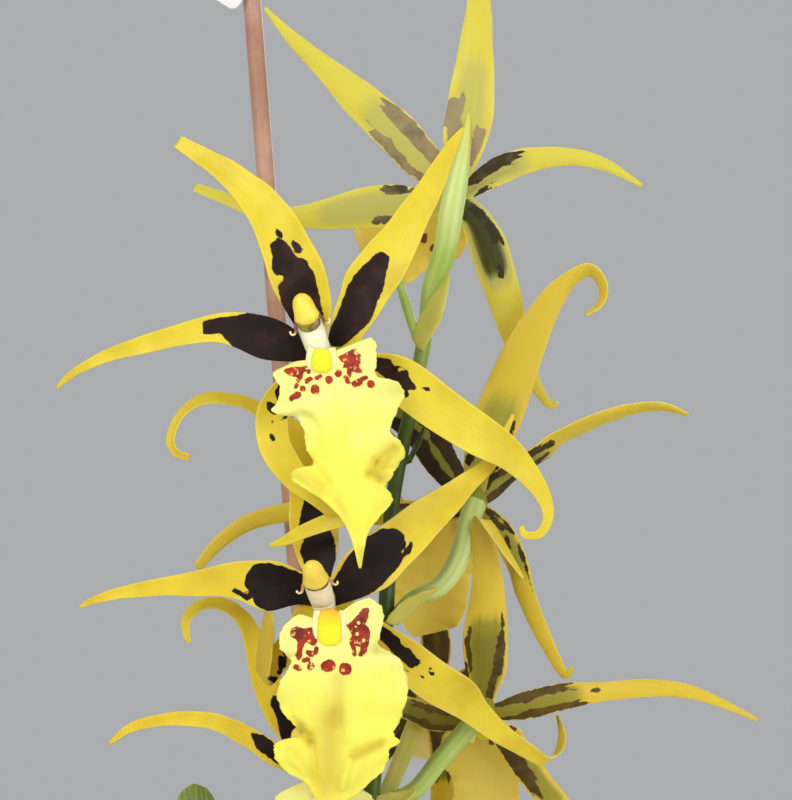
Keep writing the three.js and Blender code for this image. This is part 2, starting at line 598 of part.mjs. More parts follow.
function column(bloom) {
  const hub = seen(...bloom.hub);
  const up = new THREE.Vector3(...bloom.up).normalize();
  const forward = new THREE.Vector3(0, -bloom.front, 0);
  const right = up.clone().cross(forward);
  const lean = THREE.MathUtils.degToRad(bloom.lean ?? 0);
  const at = (high, ahead, sideways = 0) => {
    const above = Math.max(high, 0);
    return hub.clone()
      .addScaledVector(up, high - above + above * Math.cos(lean))
      .addScaledVector(forward, ahead + above * Math.sin(lean))
      .addScaledVector(right, sideways);
  };
  const trunkRows = COLUMN_ROWS.map(([high, ahead, wide, deep]) => [at(high, ahead), wide, deep]);
  const wings = [-1, 1].map((sign) => {
    const rows = WING_ROWS.map(([high, ahead, sideways, width]) => (
      [at(high, ahead, sign * sideways), width / 2, WING_THICKNESS / 2]));
    return rod(rows, WING_SIDES, right);
  });
  return fuse([rod(trunkRows, COLUMN_SIDES, right), ...wings]);
}

function hubSolid(bloom, grow = 0) {
  const sizes = [HUB_RADIUS + grow, HUB_RADIUS + grow, HUB_HEIGHT + grow];
  return ellipsoid(seen(...bloom.hub), sizes);
}

// The pad on the lip's upper part: its drop below the lip's first row and its half sizes.
function callus(bloom) {
  const [x, z, depth] = bloom.lip[0];
  const [drop, wide, high] = bloom.callus ?? [3.2, 2.4, 3.4];
  const centre = seen(x, z - drop, depth - bloom.front * CALLUS_RISE);
  return ellipsoid(centre, [wide, CALLUS_HALF_DEPTH, high], 6, 4);
}

Object.entries(BLOOMS).forEach(([key, bloom]) => {
  const petals = bloom.petals.map((rows) => {
    const root = [...bloom.hub, rows[0][3] * 0.7];
    return petal([root, ...rows], bloom.front, rows.length > 9 ? CURLED_PETAL_SPANS : PETAL_SPANS);
  });
  place(`bloom_${key}_tepals`, fuse([hubSolid(bloom), ...petals]), COLOURS.petal, 0.45);
  place(`bloom_${key}_lip`, lipBlade(bloom.lip, bloom.front).add(callus(bloom)), COLOURS.lip, 0.45);
  place(`bloom_${key}_column`, column(bloom), COLOURS.column, 0.4);
});

// Flower stem: rachis, pedicels, bracts and the thin growing tip. Rows are x, z, depth, radius.

const RACHIS_ROWS = [
  [-12.5, 88, 2, 3.1], [-13, 130, 1, 3.1], [-12, 180, 1, 3], [-9, 235, 1.5, 2.8], [-5.5, 290, 2, 2.5],
  [-1, 340, 1, 2.3], [1.2, 357, 0.5, 2.2], [3, 382.5, 0, 2.1], [5.5, 410, 0, 2], [7.2, 440, 0, 2],
  [8.2, 455, 0, 1.9], [11, 470, 0, 1.8], [14, 484, 0, 1.8], [16.2, 496, 0.5, 1.9],
];
const RACHIS_SPANS = 18;
const TIP_ROWS = [[15.5, 493, 0.5, 1.2], [13.2, 498.5, -0.5, 1.15], [11, 505.5, -1.5, 1.1], [9, 512, -2, 0.9]];
const BRACT_ROWS = {
  a: [[11.5, 464, 1.5, 4], [13.5, 468, 2.6, 4.6], [15.5, 472, 3, 3], [16.8, 476, 3, 0.8]],
  b: [[7.5, 403, 1.8, 4], [9, 407, 2.8, 4.4], [10.2, 410.5, 3.2, 2.8], [11, 413.5, 3.2, 0.8]],
  c: [[14.5, 494, -2, 4.5], [17, 499.5, -3.2, 6], [20, 505.5, -4, 4.4], [22.5, 511.2, -4.2, 0.8]],
  d: [[8, 424, -1.8, 4], [11.5, 427.5, -2.8, 5.4], [15.5, 430.5, -3.4, 4], [19.5, 432.8, -3.6, 0.8]],
  e: [[3.5, 379, -1.8, 4], [7, 379.2, -2.8, 5], [10.5, 380.6, -3.2, 3.4], [14, 382.4, -3.4, 0.8]],
  f: [[0.5, 353, -1.6, 4], [-1.5, 357, -2.8, 4.6], [-3.2, 361, -3.4, 3], [-4.6, 364.6, -3.6, 0.8]],
};

function stemRod(rows, spans, sides = 8, grow = 0) {
  const stations = smoothRows(rows, spans).map(([x, z, depth, radius]) => [seen(x, z, depth), radius + grow]);
  stations[0][0].z -= grow;
  return rod(stations, sides);
}

function pedicel(bloom) {
  const [x, z, depth] = bloom.node;
  const [hubX, hubZ, hubDepth] = bloom.hub;
  const backDepth = hubDepth + bloom.front * 2.4;
  const between = (t, bow) => [
    x + (hubX - x) * t, z + (hubZ - z) * t - bow, depth + (backDepth - depth) * t, 1.8 + 0.8 * t,
  ];
  const middle = bloom.pedicel ?? [between(0.25, 1), between(0.5, 1.2), between(0.75, 0.8)];
  const last = middle[middle.length - 1][3];
  return stemRod([[x, z, depth, 1.5], ...middle, [hubX, hubZ, backDepth, last]], 6, 7);
}

const stemParts = [
  stemRod(RACHIS_ROWS, RACHIS_SPANS),
  stemRod(TIP_ROWS, 3, 5),
  ...Object.values(BLOOMS).map(pedicel),
  ...Object.entries(BRACT_ROWS).map(([key, rows]) => petal([[...BLOOMS[key].node, 3], ...rows], 1, 4)),
];
const hubClearances = Object.values(BLOOMS).map((bloom) => hubSolid(bloom, SEAT_GAP));
place('flower_stem', fuse(stemParts).subtract(fuse(hubClearances)), COLOURS.stem, 0.4);

// Stake, tie and tag

function stakeAt(height) {
  const share = (height - STAKE_FOOT.z) / (STAKE_HEAD.z - STAKE_FOOT.z);
  return STAKE_FOOT.clone().lerp(STAKE_HEAD, share);
}

function stakeSolid(grow = 0) {
  const radius = STAKE_RADIUS + grow;
  return rod([[stakeAt(STAKE_FOOT.z - grow), radius], [STAKE_HEAD, radius]], 12);
}

function bandRound(centres, inner, wall, height) {
  const outline = (radius, path) => {
    const [first, second] = centres;
    const heading = Math.atan2(second.y - first.y, second.x - first.x);
    path.absarc(second.x, second.y, radius, heading - Math.PI / 2, heading + Math.PI / 2, false);
    path.absarc(first.x, first.y, radius, heading + Math.PI / 2, heading + Math.PI * 1.5, false);
    return path;
  };
  const shape = outline(inner + wall, new THREE.Shape());
  shape.holes.push(outline(inner, new THREE.Path()));
  const geometry = new THREE.ExtrudeGeometry(shape, { depth: height, bevelEnabled: false, curveSegments: 5 });
  return geometry.translate(0, 0, -height / 2);
}

function tie() {
  const stem = seen(...RACHIS_ROWS.find(([, z]) => z === TIE_HEIGHT));
  const inner = RACHIS_ROWS.find(([, z]) => z === TIE_HEIGHT)[3] + 2 * SEAT_GAP;
  const band = bandRound([stem, stakeAt(stem.z)], inner, TIE_WALL, TIE_BAND);
  return solid(band.translate(0, 0, stem.z));
}

function tag() {
  const middle = stakeAt(seen(0, 600, 18).z);
  const inner = STAKE_RADIUS + 2 * SEAT_GAP;
  const ahead = new THREE.Vector3(middle.x, middle.y - 0.01, 0);
  const band = bandRound([middle, ahead], inner, TIE_WALL, TAG_BAND).translate(0, 0, middle.z);
  const plate = new THREE.BoxGeometry(TAG_WIDTH, TAG_THICKNESS, TAG_LENGTH);
  plate.rotateY(TAG_TILT);
  plate.translate(middle.x + TAG_SHIFT, middle.y - inner - TIE_WALL / 2, middle.z - TAG_DROP);
  return fuse([solid(band), solid(plate)]);
}

place('stake', stakeSolid(), COLOURS.cane, 0.45);
place('stem_tie', tie(), COLOURS.tie, 0.6);
place('tag', tag(), COLOURS.tag, 0.5);

// Pseudobulbs: flattened eggs, named by place, half of each one's foot in the bark.

const BULB_ROWS = [
  [0, 0.5, 0.6], [0.1, 0.78, 0.85], [0.28, 1, 1], [0.52, 0.93, 0.95], [0.74, 0.66, 0.76],
  [0.92, 0.36, 0.5], [1, 0.26, 0.4],
];
const BULB_FOOT = 99;
const BULBS = [
  { x: 6, y: 18, turn: 8, high: 80, wide: 17.5, deep: 9.5 },
  { x: -32, y: 12, turn: -14, high: 72, wide: 17, deep: 9 },
  { x: 33, y: -4, turn: 35, high: 66, wide: 16, deep: 9 },
  { x: -5, y: -27, turn: 12, high: 56, wide: 15, deep: 8.5 },
];

function bulbSolid({ x, y, turn, high, wide, deep }, grow = 0) {
  const heading = THREE.MathUtils.degToRad(turn);
  const side = new THREE.Vector3(Math.cos(heading), Math.sin(heading), 0);
  const rows = BULB_ROWS.map(([share, across, thick]) => [
    new THREE.Vector3(x, y, BULB_FOOT + share * high - (share === 0 ? grow : 0)),
    wide * across + grow,
    deep * thick + grow,
  ]);
  return rod(rows, 12, side);
}

BULBS.forEach((bulb, i) => place(`pseudobulb_${i + 1}`, bulbSolid(bulb), COLOURS.bulb, 0.45));

// Leaves: folded straps that arch from a bulb's top, or from the bark beside a bulb.

const LEAF_SPANS = 12;
const LEAF_FOOT = 102;
const LEAF_SEAT = 0.8;
const LEAF_FOOT_SHARE = 0.34;
const LEAF_FULL_FROM = 0.4;
const LEAF_TIP_TAPER = 6;
const LEAF_TIP_WIDTH = 1.6;
const LEAF_FOOT_CHANNEL = 0.55;
const LEAF_CHANNEL = 0.15;
const LEAF_ARCH = 1.6;
const topOf = ({ x, y, high }) => [x, y, BULB_FOOT + high + LEAF_SEAT];
const LEAVES = [
  { foot: topOf(BULBS[0]), heading: 62, length: 212, rise: 84, fall: 18, width: 30 },
  { foot: topOf(BULBS[1]), heading: 118, length: 205, rise: 86, fall: 76, width: 27 },
  { foot: topOf(BULBS[2]), heading: -18, length: 235, rise: 82, fall: -12, width: 29 },
  { foot: topOf(BULBS[3]), heading: -105, length: 170, rise: 78, fall: -8, width: 25 },
  { foot: [-50, 18, LEAF_FOOT], heading: 172, length: 245, rise: 80, fall: 2, width: 27 },
  { foot: [47, 8, LEAF_FOOT], heading: 22, length: 265, rise: 80, fall: -16, width: 28 },
  { foot: [26, 25, LEAF_FOOT], heading: 84, length: 255, rise: 86, fall: 20, width: 28 },
  { foot: [-23, -32, LEAF_FOOT], heading: -150, length: 215, rise: 80, fall: -14, width: 25 },
  { foot: [-16, 33, LEAF_FOOT], heading: 128, length: 235, rise: 84, fall: 8, width: 27 },
];

function leafSolid({ foot, heading, length, rise, fall, width }, grow = 0) {
  const round = THREE.MathUtils.degToRad(heading);
  const away = new THREE.Vector3(Math.cos(round), Math.sin(round), 0);
  const side = new THREE.Vector3(Math.sin(round), -Math.cos(round), 0);
  const point = new THREE.Vector3(foot[0], foot[1], foot[2] - grow);
  const step = length / LEAF_SPANS;
  const stations = Array.from({ length: LEAF_SPANS + 1 }, (_, i) => {
    const t = i / LEAF_SPANS;
    const swell = Math.sin((Math.PI / 2) * Math.min(1, t / LEAF_FULL_FROM));
    const spread = LEAF_FOOT_SHARE + (1 - LEAF_FOOT_SHARE) * swell;
    const tip = Math.min(1, Math.sqrt((1 - t) * LEAF_TIP_TAPER));
    const station = {
      point: point.clone(),
      width: Math.max(width * spread * tip, LEAF_TIP_WIDTH) + 2 * grow,
      twist: 0,
      channel: LEAF_FOOT_CHANNEL + (LEAF_CHANNEL - LEAF_FOOT_CHANNEL) * Math.min(1, 2 * t),
    };
    const slope = THREE.MathUtils.degToRad(rise + (fall - rise) * t ** LEAF_ARCH);
    point.addScaledVector(away, step * Math.cos(slope));
    point.z += step * Math.sin(slope);
    return station;
  });
  return ribbon(stations, LEAF_THICKNESS + 2 * grow, side);
}

LEAVES.forEach((leaf, i) => place(`leaf_${i + 1}`, leafSolid(leaf), COLOURS.leaf, 0.4));

// Pot: a plain tapered clay pot with a rim and four drain holes round the middle of its floor.

const rimBottom = POT_HEIGHT - POT_RIM_HEIGHT;
const wallSlope = (POT_NECK_RADIUS - POT_BASE_RADIUS) / rimBottom;
const outerRadius = (z) => POT_BASE_RADIUS + wallSlope * z;
const innerRadius = (z) => outerRadius(z) - POT_WALL;

function lathe(profile, sides) {
  const points = profile.map(([radius, height]) => new THREE.Vector2(radius, height));
  return new THREE.LatheGeometry(points, sides).rotateX(Math.PI / 2);
}

function pot() {
  const shell = solid(lathe([
    [0, 0], [POT_BASE_RADIUS - 1.5, 0], [outerRadius(1.5), 1.5], [POT_NECK_RADIUS, rimBottom],
    [POT_RIM_RADIUS - 1, rimBottom], [POT_RIM_RADIUS, rimBottom + 1.2], [POT_RIM_RADIUS, POT_HEIGHT - 1.5],
    [POT_RIM_RADIUS - 1.5, POT_HEIGHT], [innerRadius(POT_HEIGHT) + 0.8, POT_HEIGHT],
    [innerRadius(POT_HEIGHT - 1), POT_HEIGHT - 1], [innerRadius(POT_FLOOR), POT_FLOOR], [0, POT_FLOOR],
  ], POT_SIDES));
  const holes = Array.from({ length: DRAIN_HOLES }, (_, i) => {
    const angle = ((i + 0.5) * 2 * Math.PI) / DRAIN_HOLES;
    const hole = new THREE.CylinderGeometry(DRAIN_RADIUS, DRAIN_RADIUS, 3 * POT_FLOOR, 14).rotateX(Math.PI / 2);
    return solid(hole.translate(DRAIN_CIRCLE * Math.cos(angle), DRAIN_CIRCLE * Math.sin(angle), 0));
  });
  return holes.reduce((shape, hole) => shape.subtract(hole), shell);
}

// Bark mix: one body that fills the pot, with chips standing proud of its crowned top and plain
// holes for what stands in it.

function barkMix() {
  const wall = (z) => innerRadius(z) - SEAT_GAP;
  const floor = POT_FLOOR + SEAT_GAP;
  const fill = solid(lathe([
    [0, floor], [wall(floor), floor], [wall(BARK_TOP), BARK_TOP], [wall(BARK_TOP) * 0.6, BARK_TOP + BARK_CROWN / 2],
    [0, BARK_TOP + BARK_CROWN],
  ], POT_SIDES));
  const random = seeded(41);
  const between = ([least, most]) => least + (most - least) * random();
  const chips = Array.from({ length: BARK_CHIPS }, (_, i) => {
    const reach = (wall(BARK_TOP) - CHIP_MARGIN) * Math.sqrt((i + 0.5) / BARK_CHIPS);
    const angle = i * GOLDEN_ANGLE + random();
    const chip = new THREE.BoxGeometry(between(CHIP_LONG), between(CHIP_WIDE), between(CHIP_THICK));
    chip.rotateX((random() - 0.5) * CHIP_TILT);
    chip.rotateY((random() - 0.5) * CHIP_TILT);
    chip.rotateZ(random() * Math.PI);
    const height = BARK_TOP + BARK_CROWN * (1 - reach / wall(BARK_TOP)) + random() - 0.5;
    return solid(chip.translate(reach * Math.cos(angle), reach * Math.sin(angle), height));
  });
  const standing = [
    ...BULBS.map((bulb) => bulbSolid(bulb, SEAT_GAP)),
    ...LEAVES.filter(({ foot }) => foot[2] === LEAF_FOOT).map((leaf) => leafSolid(leaf, SEAT_GAP)),
    stakeSolid(SEAT_GAP),
    stemRod(RACHIS_ROWS, RACHIS_SPANS, 8, SEAT_GAP),
  ];
  return standing.reduce((shape, thing) => shape.subtract(thing), fuse([fill, ...chips])).simplify(MERGE_TOLERANCE);
}

place('bark_mix', barkMix(), COLOURS.bark, 0.9);
place('pot', pot(), COLOURS.clay, 0.8);

export default orchid;
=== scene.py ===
"""An orchid in flower in its pot: the finish of every piece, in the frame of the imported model."""

import math

import bpy
import numpy as np
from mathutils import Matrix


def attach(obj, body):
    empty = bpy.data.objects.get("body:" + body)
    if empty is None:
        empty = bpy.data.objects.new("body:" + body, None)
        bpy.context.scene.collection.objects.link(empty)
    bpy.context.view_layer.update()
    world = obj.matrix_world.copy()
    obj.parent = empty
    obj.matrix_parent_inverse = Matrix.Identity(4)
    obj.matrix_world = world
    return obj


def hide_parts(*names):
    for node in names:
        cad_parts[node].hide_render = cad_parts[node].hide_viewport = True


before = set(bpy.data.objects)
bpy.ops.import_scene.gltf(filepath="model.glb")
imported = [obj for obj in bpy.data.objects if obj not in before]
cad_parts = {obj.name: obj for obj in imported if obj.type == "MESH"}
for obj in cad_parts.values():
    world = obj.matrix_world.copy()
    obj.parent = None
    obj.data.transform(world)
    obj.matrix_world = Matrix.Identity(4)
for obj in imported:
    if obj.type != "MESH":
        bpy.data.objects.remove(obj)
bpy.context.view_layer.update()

MM = 0.001

# The flowers' places are in millimetres, as they look from an eye point in front of the stem:
# x and z where the line of sight meets the plane of the stem, and the real depth along +Y.
EYE_DISTANCE = 550.0
EYE_X = 9.0
EYE_Z = 480.0
VIEW_HEIGHT = 200.0

# Thicknesses and least widths of the blooms' blades
PETAL_MIDDLE = 0.6
PETAL_EDGE = 0.3
PETAL_LEAST_WIDTH = 0.7
LIP_SWELL = 0.25
LIP_LEAST_HALF = 0.3

# Their channels, waves, frills and notches as shares of the half width, and the waves' beats
PETAL_CHANNEL = 0.18
PETAL_WAVE = 0.11
PETAL_NOTCH = 0.05
PETAL_BEATS = (1.5, 4, 7)
LIP_FRILL = 0.13
LIP_NOTCH = 0.03
LIP_FRILL_BEATS = ((3, 6, 9), (2.5, 5, 8))
LIP_NOTCH_BEATS = ((16, 27, 41), (15, 25, 38))

# Height of the lips' pleats, waves of the dark bands' outlines and the share over which the olive
# tone fades
PLEAT_HEIGHT = 0.22
BAND_END_WAVE = 2.5
BAND_SIDE_WAVE = 0.5
OLIVE_FADE = 0.12

# The depth of a place that no mark is near
FAR_OUTSIDE = -20.0


# Places

def seen(x, z, depth):
    """Places in space from where they look to be on the plane of the stem."""
    x, z, depth = np.broadcast_arrays(x, z, depth)
    scale = (EYE_DISTANCE + depth) / EYE_DISTANCE
    return np.stack([EYE_X + (x - EYE_X) * scale, depth, EYE_Z + (z - EYE_Z) * scale], axis=-1)


def looks_at(points):
    """The other way round: where places in space look to be on the plane of the stem."""
    scale = (EYE_DISTANCE + points[..., 1]) / EYE_DISTANCE
    x = EYE_X + (points[..., 0] - EYE_X) / scale
    z = EYE_Z + (points[..., 2] - EYE_Z) / scale
    return np.stack([x, z], axis=-1)


def filled(rows, width):
    """Rows of numbers with zeros for the ones left out."""
    return np.array([list(row) + [0.0] * (width - len(row)) for row in rows], dtype=float)


def smooth_rows(table, spans):
    """A smooth run through rows of numbers, cut into the given number of equal spans."""
    last = len(table) - 1
    place = np.linspace(0.0, last, spans + 1)
    i = np.minimum(place.astype(int), last - 1)
    u = (place - i)[:, None]
    before, start = table[np.maximum(i - 1, 0)], table[i]
    end, after = table[i + 1], table[np.minimum(i + 2, last)]
    linear = end - before
    square = 2 * before - 5 * start + 4 * end - after
    cube = 3 * start - before - 3 * end + after
    return start + 0.5 * u * (linear + u * (square + u * cube))


def unit(v):
    return v / np.maximum(np.linalg.norm(v, axis=-1, keepdims=True), 1e-12)


def turned(v, axis, angle):
    """Vectors turned about unit axes."""
    cos = np.cos(angle)[..., None]
    sin = np.sin(angle)[..., None]
    along = np.sum(v * axis, axis=-1, keepdims=True) * axis
    return v * cos + np.cross(axis, v) * sin + along * (1 - cos)


def path_frames(points, first_side=None):
    """Directions along a path: each frame is the last one turned by the least angle."""
    ahead = np.concatenate([points[1:], points[-1:]])
    behind = np.concatenate([points[:1], points[:-1]])
    tangents = unit(ahead - behind)
    side = np.cross(tangents[0], [0.0, 1.0, 0.0]) if first_side is None else np.array(first_side, float)
    sides = []
    for i, tangent in enumerate(tangents):
        last = tangents[max(i - 1, 0)]
        axis = np.cross(last, tangent)
        sine = float(np.linalg.norm(axis))
        if sine > 1e-9:
            side = turned(side, axis / sine, np.array(math.atan2(sine, float(last @ tangent))))
        side = unit(side - (side @ tangent) * tangent)
        sides.append(side)
    sides = np.array(sides)
    return tangents, sides, np.cross(tangents, sides)


def lengths(points):
    """The length of a path up to each of its points."""
    steps = np.linalg.norm(np.diff(points, axis=0), axis=1)
    return np.concatenate([[0.0], np.cumsum(steps)])


def ripple(t, seed, beats):
    """A smooth wavy number from -1 to 1 along t, from a few sine waves with seeded starts."""
    starts = np.random.default_rng(seed).uniform(0, 2 * np.pi, len(beats))
    waves = [np.sin(2 * np.pi * beat * t + start) for beat, start in zip(beats, starts)]
    return sum(waves) / len(beats)


# Marks. A spot is x, z, radius; a stroke is a spot at each end; an outline is a list of corners.
# A spot with a radius below zero is a light island. Depths are in millimetres, above 0 inside.

def outline_depth(places, corners):
    corners = np.array(corners, dtype=float)
    nearest = np.full(places.shape[:-1], 1e6)
    inside = np.zeros(places.shape[:-1], dtype=bool)
    for start, end in zip(corners, np.roll(corners, -1, axis=0)):
        line = end - start
        share = np.clip(((places - start) @ line) / max(float(line @ line), 1e-9), 0, 1)
        gap = np.linalg.norm(places - (start + share[..., None] * line), axis=-1)
        nearest = np.minimum(nearest, gap)
        if start[1] != end[1]:
            crosses = (start[1] > places[..., 1]) != (end[1] > places[..., 1])
            limit = start[0] + (places[..., 1] - start[1]) * line[0] / line[1]
            inside ^= crosses & (places[..., 0] < limit)
    return np.where(inside, nearest, -nearest)


def stroke_depth(places, start, end):
    line = np.array(end[:2]) - np.array(start[:2])
    share = np.clip(((places - np.array(start[:2])) @ line) / max(float(line @ line), 1e-9), 0, 1)
    gap = np.linalg.norm(places - (np.array(start[:2]) + share[..., None] * line), axis=-1)
    return start[2] + (end[2] - start[2]) * share - gap


def mark_depth(places, marks):
    depth = np.full(places.shape[:-1], FAR_OUTSIDE)
    for mark in marks:
        if isinstance(mark, list):
            depth = np.maximum(depth, outline_depth(places, mark))
        elif len(mark) == 6:
            depth = np.maximum(depth, stroke_depth(places, mark[:3], mark[3:]))
        elif mark[2] > 0:
            depth = np.maximum(depth, stroke_depth(places, mark, mark))
    for mark in marks:
        if isinstance(mark, tuple) and len(mark) == 3 and mark[2] < 0:
            x, z, radius = mark
            island = (x, z, -radius)
            depth = np.minimum(depth, -stroke_depth(places, island, island))
    return depth


def soft_strokes(places, strokes):
    """The sum of soft strokes. Each is x, z, x, z, half width and height."""
    total = np.zeros(places.shape[:-1])
    for x, z, end_x, end_z, half, height in strokes:
        gap = stroke_depth(places, (x, z, 0.0), (end_x, end_z, 0.0))
        total += height * np.exp(-((gap / half) ** 2))
    return total


# Closed shapes

class Shape:
    """Points, faces and point values of one piece, gathered from several closed shapes."""

    def __init__(self):
        self.points = []
        self.faces = []
        self.values = {}
        self.count = 0

    def add(self, points, faces, values):
        points = np.asarray(points, dtype=float).reshape(-1, 3)
        for key in sorted(set(self.values) | set(values)):
            known = self.values.setdefault(key, [np.zeros(self.count)])
            known.append(np.broadcast_to(values.get(key, 0.0), (len(points),)))
        self.points.append(points)
        self.faces += [[corner + self.count for corner in face] for face in faces]
        self.count += len(points)

    def thing(self, name, material):
        mesh = bpy.data.meshes.new(name)
        mesh.from_pydata((np.concatenate(self.points) * MM).tolist(), [], self.faces)
        for key, numbers in self.values.items():
            attribute = mesh.attributes.new(key, "FLOAT", "POINT")
            attribute.data.foreach_set("value", np.concatenate(numbers).astype(np.float32))
        mesh.polygons.foreach_set("use_smooth", [True] * len(mesh.polygons))
        mesh.materials.append(material)
        mesh.update()
        thing = bpy.data.objects.new(name, mesh)
        bpy.context.scene.collection.objects.link(thing)
        return thing

    def piece(self, name, material, slot, *nodes):
        """The finished piece, in place of the nodes it stands for."""
        thing = self.thing(name, material)
        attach(thing, "root")
        if nodes:
            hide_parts(*nodes)
        return thing


def sheet_faces(rows, columns):
    """Faces of a closed thin sheet: a front grid, a back grid and the rim between them."""
    back = rows * columns
    faces = []
    for i in range(rows - 1):
        for j in range(columns - 1):
            a = i * columns + j
            b, c, d = a + 1, a + columns + 1, a + columns
            faces.append((a, d, c, b))
            faces.append((a + back, b + back, c + back, d + back))
    rim = list(range(columns - 1))
    rim += [i * columns + columns - 1 for i in range(rows - 1)]
    rim += [(rows - 1) * columns + j for j in range(columns - 1, 0, -1)]
    rim += [i * columns for i in range(rows - 1, 0, -1)]
    for start, end in zip(rim, rim[1:] + rim[:1]):
        faces.append((start, end, end + back, start + back))
    return faces


def add_sheet(shape, middle, ups, thickness, values, front):
    """A closed sheet about a grid of places. values are grids, given to both of its faces."""
    rows, columns = middle.shape[:2]
    normal = unit(np.cross(np.gradient(middle, axis=0), np.gradient(middle, axis=1)))
    agree = np.sum(normal * ups, axis=-1, keepdims=True)
    normal = np.where(agree < 0, -normal, normal)
    lift = normal * (np.broadcast_to(thickness, (rows, columns)) / 2)[..., None]
    points = np.concatenate([(middle + lift).reshape(-1, 3), (middle - lift).reshape(-1, 3)])
    grids = {key: np.broadcast_to(grid, (rows, columns)).ravel() for key, grid in values.items()}
    known = {key: np.tile(grid, 2) for key, grid in grids.items()}
    known["inside"] = np.repeat([front > 0, front < 0], rows * columns).astype(float)
    shape.add(points, sheet_faces(rows, columns), known)


def add_petal(shape, rows, front, marks, seed, spans=54, columns=15, bands=None):
    """A narrow blade of a bloom. Each row holds x, z, depth, width and twist in degrees. bands is
    a row of the table of dark bands."""
    stations = smooth_rows(filled(rows, 5), spans)
    centres = seen(stations[:, 0], stations[:, 1], stations[:, 2])
    tangents, sides, faces = path_frames(centres)
    twist = np.radians(stations[:, 4])
    flats = turned(sides, tangents, twist)[:, None, :]
    ups = turned(faces, tangents, twist)[:, None, :]
    t = np.linspace(0, 1, spans + 1)[:, None]
    s = np.sin(np.linspace(-1.4, 1.4, columns))[None, :] / math.sin(1.4)
    half = np.maximum(stations[:, 3:4], PETAL_LEAST_WIDTH) / 2
    waves = [ripple(t, seed + side, PETAL_BEATS) for side in (0, 1)]
    wave = np.where(s < 0, *waves) * np.abs(s) ** 3
    reach = half * s * (1 + PETAL_NOTCH * wave)
    rise = half * (PETAL_CHANNEL * front * s**2 + PETAL_WAVE * wave)
    middle = centres[:, None, :] + flats * reach[..., None] + ups * rise[..., None]
    along = lengths(centres)[:, None]
    depth = mark_depth(looks_at(middle), marks)
    values = {"along": along, "share": t, "across": reach, "edge": np.abs(s)}
    if bands:
        ends, middles, margin, olive, olive_end, faint = bands
        share = along / along[-1, 0]
        end = (np.where(s < 0, *ends) - share) * along[-1, 0]
        end = end + BAND_END_WAVE * ripple(t * 0 + s, seed + 5, (1, 2.3))
        middle_band = half * np.abs(s) - np.where(s < 0, *middles)
        middle_band = middle_band + BAND_SIDE_WAVE * ripple(t, seed + 6, (6, 11))
        edge_band = half * (1 - np.abs(s)) - margin
        depth = np.maximum(depth, np.minimum(end, np.minimum(middle_band, edge_band)))
        fading = np.clip((olive_end - share) / OLIVE_FADE, 0, 1)
        values["olive"] = olive * fading * np.clip(1.5 - 1.5 * np.abs(s) ** 1.5, 0, 1)
        values["faint"] = faint
    values["mark"] = depth
    thickness = PETAL_EDGE + (PETAL_MIDDLE - PETAL_EDGE) * (1 - s**4)
    add_sheet(shape, middle, ups, thickness, values, front)


def add_lip(shape, rows, front, marks, strokes, seed, spans=114, columns=57):
    """A broad waved blade. Each row holds x, z, depth, left, right, the rise of its edges and the
    slope by which it climbs from left to right. strokes are three lists of soft strokes: shifts up
    or down, ridges and grooves of the blade, and the painted shade of its folds."""
    shifts, creases, shade_strokes = strokes
    stations = smooth_rows(filled(rows, 7), spans)
    centres = seen(stations[:, 0], stations[:, 1], stations[:, 2])
    tangents, sides, faces = path_frames(centres)
    if front > 0:
        sides = np.broadcast_to([1.0, 0.0, 0.0], sides.shape)
        faces = unit(np.cross(tangents, sides))
    t = np.linspace(0, 1, spans + 1)[:, None]
    s = np.linspace(-1, 1, columns)[None, :]
    wide = np.maximum(np.where(s < 0, stations[:, 3:4], stations[:, 4:5]), LIP_LEAST_HALF)
    notch = np.where(s < 0, *[ripple(t, seed + i, LIP_NOTCH_BEATS[i]) for i in (0, 1)])
    frill = np.where(s < 0, *[ripple(t, seed + 2 + i, LIP_FRILL_BEATS[i]) for i in (0, 1)])
    ends = np.clip((1 - t) * 6, 0, 1)
    reach = s * wide + np.sign(s) * np.abs(s) ** 8 * notch * np.minimum(wide * LIP_NOTCH, 0.3)
    frilled = np.abs(s) ** 3 * frill * np.minimum(wide * LIP_FRILL, 1.2) * ends
    rise = s**2 * stations[:, 5:6] + frilled
    pleats = np.sin(s * 5 + 1.2 * np.sin(3 * t)) * np.clip(t * 2.5 - 0.7, 0, 1) * ends
    rise = rise + PLEAT_HEIGHT * pleats * (1 - s**4)
    middle = centres[:, None, :] + sides[:, None, :] * reach[..., None]
    middle[..., 2] += stations[:, 6:7] * reach + soft_strokes(looks_at(middle), shifts)
    rise = rise + soft_strokes(looks_at(middle), creases)
    middle = middle + faces[:, None, :] * (front * rise)[..., None]
    places = looks_at(middle)
    thickness = PETAL_EDGE + LIP_SWELL * (1 - s**4)
    values = {
        "mark": mark_depth(places, marks),
        "shade": np.clip(soft_strokes(places, shade_strokes), 0, 1),
        "along": lengths(centres)[:, None],
        "share": t,
        "across": reach,
        "edge": np.abs(s),
        "pleat": pleats,
    }
    add_sheet(shape, middle, faces[:, None, :], thickness, values, front)


